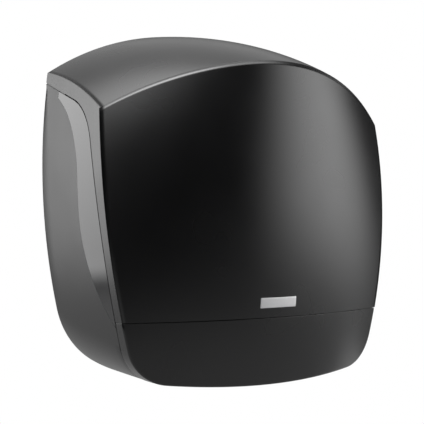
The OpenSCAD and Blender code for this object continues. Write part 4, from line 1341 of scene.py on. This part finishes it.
def sleeveMesh():
    form = lockForm
    bore, e, r, pitch = form["sleeveBore"], form["sleeveEdge"], form["sleeveR"], form["threadPitch"]
    profile = [(bore + e, lockOuterX), (bore, lockOuterX - e), (bore, lockBackX)]
    for i in range(int((form["sleeveLong"] - form["threadShort"]) / pitch)):  # thread for the nut
        at = lockBackX + i * pitch
        profile += [(r - form["threadDepth"], at), (r, at + pitch / 2)]
    profile += [(r, lockFaceX), (form["rimR"], lockFaceX)]
    profile += [(form["rimR"] - inward, lockOuterX - behind) for inward, behind in form["rimRound"]]
    return lockSpun("sleeve", profile, form["sleeveSides"])


def barrelMesh():
    form, overrun = lockForm, 1  # the cutter stands out past the face
    disc = ringProfile(0, form["barrelR"], lockBackX - form["gap"], lockOuterX, form["barrelEdge"])
    body = newObject("barrel", lockSpun("barrel", disc))
    y, z, halfWide, halfTall = form["y"], form["z"], form["slotWide"] / 2, form["slotTall"] / 2
    tool = newObject("slot", boxMesh((lockOuterX - form["slotDeep"], y - halfWide, z - halfTall),
                                     (lockOuterX + overrun, y + halfWide, z + halfTall)))
    hole = body.modifiers.new("slot", "BOOLEAN")
    hole.operation, hole.solver, hole.object = "DIFFERENCE", "EXACT", tool
    settle(body)
    bpy.data.objects.remove(tool)
    return takeMesh(body)


def camOutline():
    form = lockForm
    y, z, r, half, cut = form["y"], form["z"], form["camEyeR"], form["camWide"] / 2, form["camCut"]
    turn, end = math.asin(half / r), form["y"] - form["camLong"]
    eye = arcPoints(y, z, r, -math.pi + turn, math.pi - turn, form["camEyeSteps"])
    return eye + [(end + cut, z + half), (end, z + half - cut), (end, z - half + cut), (end + cut, z - half)]


def keeperMesh():  # bent strip: a seat under the block and a leg behind the cam
    low, high = inMillimetres(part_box("lock_keeper"))
    thick, bend = lockForm["camThick"], lockForm["keeperBend"]
    back = arcPoints(high.y - bend, high.z - bend, bend, math.pi / 2, 0, lockForm["keeperBendSteps"])
    outline = [(low.y, high.z - thick), (low.y, high.z)] + back
    outline += [(high.y, low.z), (high.y - thick, low.z), (high.y - thick, high.z - thick)]
    return sideMesh([outline], high.x - low.x, lockForm["stripEdge"], (low.x + high.x) / 2)


# A flat piece on the lock's axis, where its CAD node is
def lockPlate(box, outline, bore, sides, thick, edge):
    low, high = inMillimetres(box)
    hole = circlePoints(lockForm["y"], lockForm["z"], bore, sides)
    return sideMesh([outline, hole], thick, edge, (low.x + high.x) / 2)


def buildLock():
    form = lockForm
    hexagon = circlePoints(form["y"], form["z"], form["nutR"], 6)
    nut = lockPlate(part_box("lock_nut"), hexagon, housingForm["lockBore"], turnedSides, form["nutThick"],
                    form["nutEdge"])
    cam = lockPlate(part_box("lock_cam"), camOutline(), form["camBore"], boreSides, form["camThick"],
                    form["stripEdge"])
    finishMesh("lockSleeve", sleeveMesh(), lockZinc, "housing", "lock_zinc", "lock_sleeve")
    finishMesh("lockNut", nut, zincSteel, "housing", "zinc_steel", "lock_nut")
    finishMesh("lockBarrel", barrelMesh(), lockZinc, "lock", "lock_zinc", "lock_barrel")
    finishMesh("lockCam", cam, zincSteel, "lock", "zinc_steel", "lock_cam")
    finishMesh("lockKeeper", keeperMesh(), zincSteel, "door", "zinc_steel", "lock_keeper")


buildLock()
print("lock: done")


# Screws: round heads with a hexagon socket and a rolled thread

screwForm = {
    "headR": 2.8, "headHigh": 1.8, "headEasing": 0.3, "headSides": 32, "socketR": 1.3, "socketDeep": 1.0,
    "threadR": 1.5, "pitch": 0.75, "rootShare": 0.82, "bareTurns": 0.75, "turnSteps": 20,
    "keeperApart": 4,
}


def buildScrewTree():
    form = screwForm
    tree, given = newTree("screws", {"Head Radius": "Float", "Head Height": "Float", "Thread Radius": "Float",
                                     "Length": "Float", "Pitch": "Float", "Socket Radius": "Float",
                                     "Socket Depth": "Float", "Rotation": "Vector", "Material": "Material"})
    disc = addDisc(tree, given["Head Radius"], given["Head Height"], form["headEasing"], form["headSides"])
    twice = addNode(tree, "ShaderNodeMath", {"operation": "MULTIPLY"}, i0=given["Socket Depth"], i1=2.0)
    head = addBore(tree, disc, given["Socket Radius"], twice, given["Head Height"], 6)
    core = addNode(tree, "ShaderNodeMath", {"operation": "MULTIPLY"}, i0=given["Thread Radius"],
                   i1=form["rootShare"])
    shank = addNode(tree, "GeometryNodeMeshCylinder", Vertices=holeSides, Radius=core,
                    Depth=given["Length"])
    drop = addNode(tree, "ShaderNodeMath", {"operation": "MULTIPLY"}, i0=given["Length"], i1=-0.5)
    down = addNode(tree, "ShaderNodeCombineXYZ", Z=drop)
    shankDown = addNode(tree, "GeometryNodeTransform", Geometry=shank, Translation=down)
    threaded = addNode(tree, "ShaderNodeMath", {"operation": "MULTIPLY_ADD"}, i0=given["Pitch"],
                       i1=-2 * form["bareTurns"], i2=given["Length"])
    turns = addNode(tree, "ShaderNodeMath", {"operation": "DIVIDE"}, i0=threaded, i1=given["Pitch"])
    helix = addNode(tree, "GeometryNodeCurveSpiral", Resolution=form["turnSteps"], Rotations=turns,
                    Start_Radius=core, End_Radius=core, Height=threaded)
    ridgeR = addNode(tree, "ShaderNodeMath", {"operation": "MULTIPLY"}, i0=given["Thread Radius"],
                     i1=1 - form["rootShare"])
    ridge = addNode(tree, "GeometryNodeCurvePrimitiveCircle", Resolution=4, Radius=ridgeR)
    thread = addNode(tree, "GeometryNodeCurveToMesh", Curve=helix, Profile_Curve=ridge, Fill_Caps=True)
    bare = addNode(tree, "ShaderNodeMath", {"operation": "MULTIPLY"}, i0=given["Pitch"], i1=form["bareTurns"])
    foot = addNode(tree, "ShaderNodeMath", {"operation": "SUBTRACT"}, i0=bare, i1=given["Length"])
    threadLow = addNode(tree, "ShaderNodeCombineXYZ", Z=foot)
    threadDown = addNode(tree, "GeometryNodeTransform", Geometry=thread, Translation=threadLow)
    screw = addNode(tree, "GeometryNodeJoinGeometry")
    for part in (head, shankDown, threadDown):
        setInputs(tree, screw, Geometry=part)
    screws = addNode(tree, "GeometryNodeInstanceOnPoints", Points=given["Geometry"],
                     Instance=screw, Rotation=given["Rotation"])
    closeTree(tree, screws, given["Material"])
    return tree


screwTree = buildScrewTree()
barBottom = housingForm["footZ"] - barForm["thick"]
flangeTop = seamTop + coverForm["flangeThick"]
keeperLow, keeperHigh = inMillimetres(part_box("lock_keeper"))
keeperX, keeperSeat = (keeperLow.x + keeperHigh.x) / 2, keeperHigh.z - lockForm["camThick"]
keeperMiddle = (keeperLow.y + keeperHigh.y - lockForm["camThick"]) / 2
keeperScrewY = [keeperMiddle + s * screwForm["keeperApart"] for s in (-1, 1)]
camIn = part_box("lock_cam")[0].x / mm
screwSets = {  # "turn" takes the screws from standing on their points to where they go in
    "spindleScrews": {"node": "spindle_screws", "body": "housing", "long": 4.5, "turn": (90, 0, 0),
                      "at": [(x, -spindleForm["plateFront"], z) for x, z in spindleBolts]},
    "tearBarScrews": {"node": "tear_bar_screws", "body": "housing", "long": 7.2, "turn": (180, 0, 0),
                      "at": [(s * barForm["screwX"], y, barBottom) for s in (-1, 1) for y in barScrewY]},
    "panelScrews": {"node": "panel_screws", "body": "door", "long": 10.5, "turn": (0, 0, 0),
                    "at": [(x, y, flangeTop) for x, y in flangeHoles]},
    "keeperScrews": {"node": "keeper_screws", "body": "door", "long": 9, "turn": (180, 0, 0),
                     "at": [(keeperX, y, keeperSeat) for y in keeperScrewY]},
    "camScrew": {"node": "cam_screw", "body": "lock", "long": 8, "turn": (0, -90, 0),
                 "at": [(camIn, lockForm["y"], lockForm["z"])]},
}
screwSizes = {"Head Radius": "headR", "Head Height": "headHigh", "Thread Radius": "threadR", "Pitch": "pitch",
              "Socket Radius": "socketR", "Socket Depth": "socketDeep"}
for name, form in screwSets.items():
    values = {label: screwForm[key] * mm for label, key in screwSizes.items()}
    values["Length"] = form["long"] * mm
    values["Rotation"] = [math.radians(a) for a in form["turn"]]
    values["Material"] = screwSteel
    piece = runTree(name, pointMesh(form["at"]), screwTree, values)
    sharpen(piece.data)
    finishPiece(piece, screwSteel, form["body"], "screw_steel", form["node"])
print("screws: done")


# Floor, lamps, world and camera

studioForm = {"floorDrop": 0.95, "floorHalf": 6, "floorColour": "#e9e9ea", "floorRoughness": 0.9,
              "fill": 0.35}
lampForm = {
    "topLamp": {"at": (0.25, -0.1, 1.3), "size": (1.2, 0.8), "power": 12},
    "rightLamp": {"at": (1.3, -0.75, 0.25), "size": (0.5, 1.4), "power": 10},
    "leftLamp": {"at": (-1.4, 1.2, 0.35), "size": (1.2, 1.2), "power": 10},
}
# What gloss mirrors. Azimuth runs from the front (0) to the right (90), height from the horizon; degrees.
# Below its fade's heights a box has only a share of its level; meet is where behind and before change over
mirrorForm = {
    "boxes": {
        "rightBox": {"azimuth": (37, 79), "height": (-7.5, 24), "soft": (17, 9), "level": 3.7,
                     "fade": (-20, 0, 0.95)},
        "backBox": {"azimuth": (-159, -138), "height": (-11.5, 20), "soft": (4, 1.5), "level": 3.7,
                    "fade": (-16, 10, 0.6)},
        "tableGlow": {"azimuth": (75, 81), "height": (-30, -16), "soft": (2.5, 2.5), "level": 4.5,
                      "fade": (-30, -16, 1.0)},
    },
    "discs": {
        "ceiling": {"axis": (-0.2, -0.24, 0.95), "edge": (0.57, 0.85), "level": 3.9},
        "frontCeiling": {"axis": (-0.304, -0.434, 0.848), "edge": (0.9, 0.985), "level": 9.0},
    },
    "backWall": {"height": (16, 24), "level": 0.55},
    "frontTable": {"height": (-24, -10), "level": 0.52},
    "backTable": {"height": (-16, -8), "level": 0.5},
    "meet": (-0.1, 0.3), "room": 0.03,
}
cameraForm = {
    "azimuth": 34.1185, "tilt": -0.2899, "roll": -0.1568, "distance": 969.563,
    "focalPixels": 1086.648, "target": (-10.177, -60, -9.551), "sensor": 36,
}
white = (1, 1, 1, 1)


def buildFloor():
    bm = bmesh.new()
    bmesh.ops.create_grid(bm, x_segments=2, y_segments=2, size=studioForm["floorHalf"])
    mesh = bpy.data.meshes.new("floor")
    bm.to_mesh(mesh)
    bm.free()
    moved(mesh, Matrix.Translation((0, 0, cadLow[2] - studioForm["floorDrop"])))
    floor = newObject("floor", mesh)
    # Pale paper: dull under the lamps, and plain white to the camera
    material, tree, surface = newMaterial("floorPaperPale", Base_Color=hexColour(studioForm["floorColour"]),
                                          Roughness=studioForm["floorRoughness"])[:3]
    path = addNode(tree, "ShaderNodeLightPath")
    plain = addNode(tree, "ShaderNodeEmission", Color=white, Strength=1.0)
    seen = addNode(tree, "ShaderNodeMixShader", Fac=path.outputs["Is Camera Ray"], i1=surface, i2=plain)
    setInputs(tree, tree.nodes["Material Output"], Surface=seen)
    mesh.materials.append(material)
    floor.visible_glossy = False  # its mirror image is the world's table


def heightOf(degrees):
    return math.sin(math.radians(degrees))


# Lights add up, and each is a product of soft steps: (value, start, end, level before, level after)
def addMirror(tree):
    form = mirrorForm
    away = addNode(tree, "ShaderNodeTexCoord").outputs["Generated"]
    x, y, z = addNode(tree, "ShaderNodeSeparateXYZ", Vector=away).outputs
    front = addNode(tree, "ShaderNodeMath", {"operation": "MULTIPLY"}, i0=y, i1=-1.0)
    turn = addNode(tree, "ShaderNodeMath", {"operation": "ARCTAN2"}, i0=x, i1=front)
    lights = []
    for box in form["boxes"].values():
        (aside, above), (left, right), (low, high) = box["soft"], box["azimuth"], box["height"]
        start, end, least = box["fade"]
        lights.append([
            (turn, math.radians(left - aside), math.radians(left + aside), 0.0, box["level"]),
            (turn, math.radians(right - aside), math.radians(right + aside), 1.0, 0.0),
            (z, heightOf(start), heightOf(end), least, 1.0),
            (z, heightOf(low - above), heightOf(low + above), 0.0, 1.0),
            (z, heightOf(high - above), heightOf(high + above), 1.0, 0.0),
        ])
    for disc in form["discs"].values():
        rise = addNode(tree, "ShaderNodeVectorMath", {"operation": "DOT_PRODUCT"}, i0=away, i1=disc["axis"])
        lights.append([(rise.outputs["Value"], *disc["edge"], 0.0, disc["level"])])
    behind, before = (y, *form["meet"], 0.0, 1.0), (y, *form["meet"], 1.0, 0.0)
    for side, name, rising in ((behind, "backWall", True), (behind, "backTable", False),
                               (before, "frontTable", False)):
        start, end = (heightOf(h) for h in form[name]["height"])
        levels = (0.0, form[name]["level"]) if rising else (form[name]["level"], 0.0)
        lights.append([side, (z, start, end, *levels)])
    total = form["room"]
    for steps in lights:
        product = 1.0
        for value, start, end, early, late in steps:
            step = addNode(tree, "ShaderNodeMapRange", {"interpolation_type": "SMOOTHSTEP"}, Value=value,
                           From_Min=start, From_Max=end, To_Min=early, To_Max=late)
            product = addNode(tree, "ShaderNodeMath", {"operation": "MULTIPLY"}, i0=product, i1=step)
        total = addNode(tree, "ShaderNodeMath", {"operation": "ADD"}, i0=total, i1=product)
    return total


# The camera sees plain white, gloss sees the mirror's lights, and all else an even fill
def buildWorld():
    world = bpy.data.worlds.new("studio")
    bpy.context.scene.world = world
    world.use_nodes = True
    tree = world.node_tree
    tree.nodes.clear()
    path = addNode(tree, "ShaderNodeLightPath").outputs
    mirror = addMirror(tree)
    glossy = addNode(tree, "ShaderNodeMix", i0=path["Is Glossy Ray"], i2=studioForm["fill"], i3=mirror)
    shown = addNode(tree, "ShaderNodeMath", {"operation": "MAXIMUM"}, i0=path["Is Camera Ray"],
                    i1=path["Is Transmission Ray"])
    level = addNode(tree, "ShaderNodeMix", i0=shown, i2=glossy, i3=1.0)
    light = addNode(tree, "ShaderNodeBackground", Color=white, Strength=level)
    addNode(tree, "ShaderNodeOutputWorld", Surface=light)


def buildLamps():
    for name, form in lampForm.items():
        light = bpy.data.lights.new(name, "AREA")
        light.shape = "RECTANGLE"
        light.size, light.size_y = form["size"]
        light.energy = form["power"]
        lamp = bpy.data.objects.new(name, light)
        at = Vector(form["at"])
        lamp.matrix_world = Matrix.Translation(at) @ at.to_track_quat("Z", "Y").to_matrix().to_4x4()
        lamp.visible_camera = False
        lamp.visible_glossy = False  # gloss mirrors the world's soft boxes instead
        bpy.context.scene.collection.objects.link(lamp)


def placeCamera():
    turn, tilt, roll = (math.radians(cameraForm[key]) for key in ("azimuth", "tilt", "roll"))
    ahead = Vector((math.sin(turn) * math.cos(tilt), math.cos(turn) * math.cos(tilt), -math.sin(tilt)))
    right = Vector((math.cos(turn), -math.sin(turn), 0))
    up = right.cross(ahead)
    aside, above = right * math.cos(roll) + up * math.sin(roll), up * math.cos(roll) - right * math.sin(roll)
    place = (Vector(cameraForm["target"]) - ahead * cameraForm["distance"]) * mm
    lens = bpy.data.cameras.new("camera")
    lens.sensor_width = cameraForm["sensor"]
    lens.lens = cameraForm["focalPixels"] / imageSide * cameraForm["sensor"]
    camera = bpy.data.objects.new("camera", lens)
    camera.matrix_world = Matrix.Translation(place) @ Matrix((aside, above, -ahead)).transposed().to_4x4()
    bpy.context.scene.collection.objects.link(camera)
    bpy.context.scene.camera = camera


buildFloor()
buildWorld()
buildLamps()
placeCamera()
bpy.context.scene.view_settings.view_transform = "Standard"
print("studio: lamps", ", ".join(lampForm))
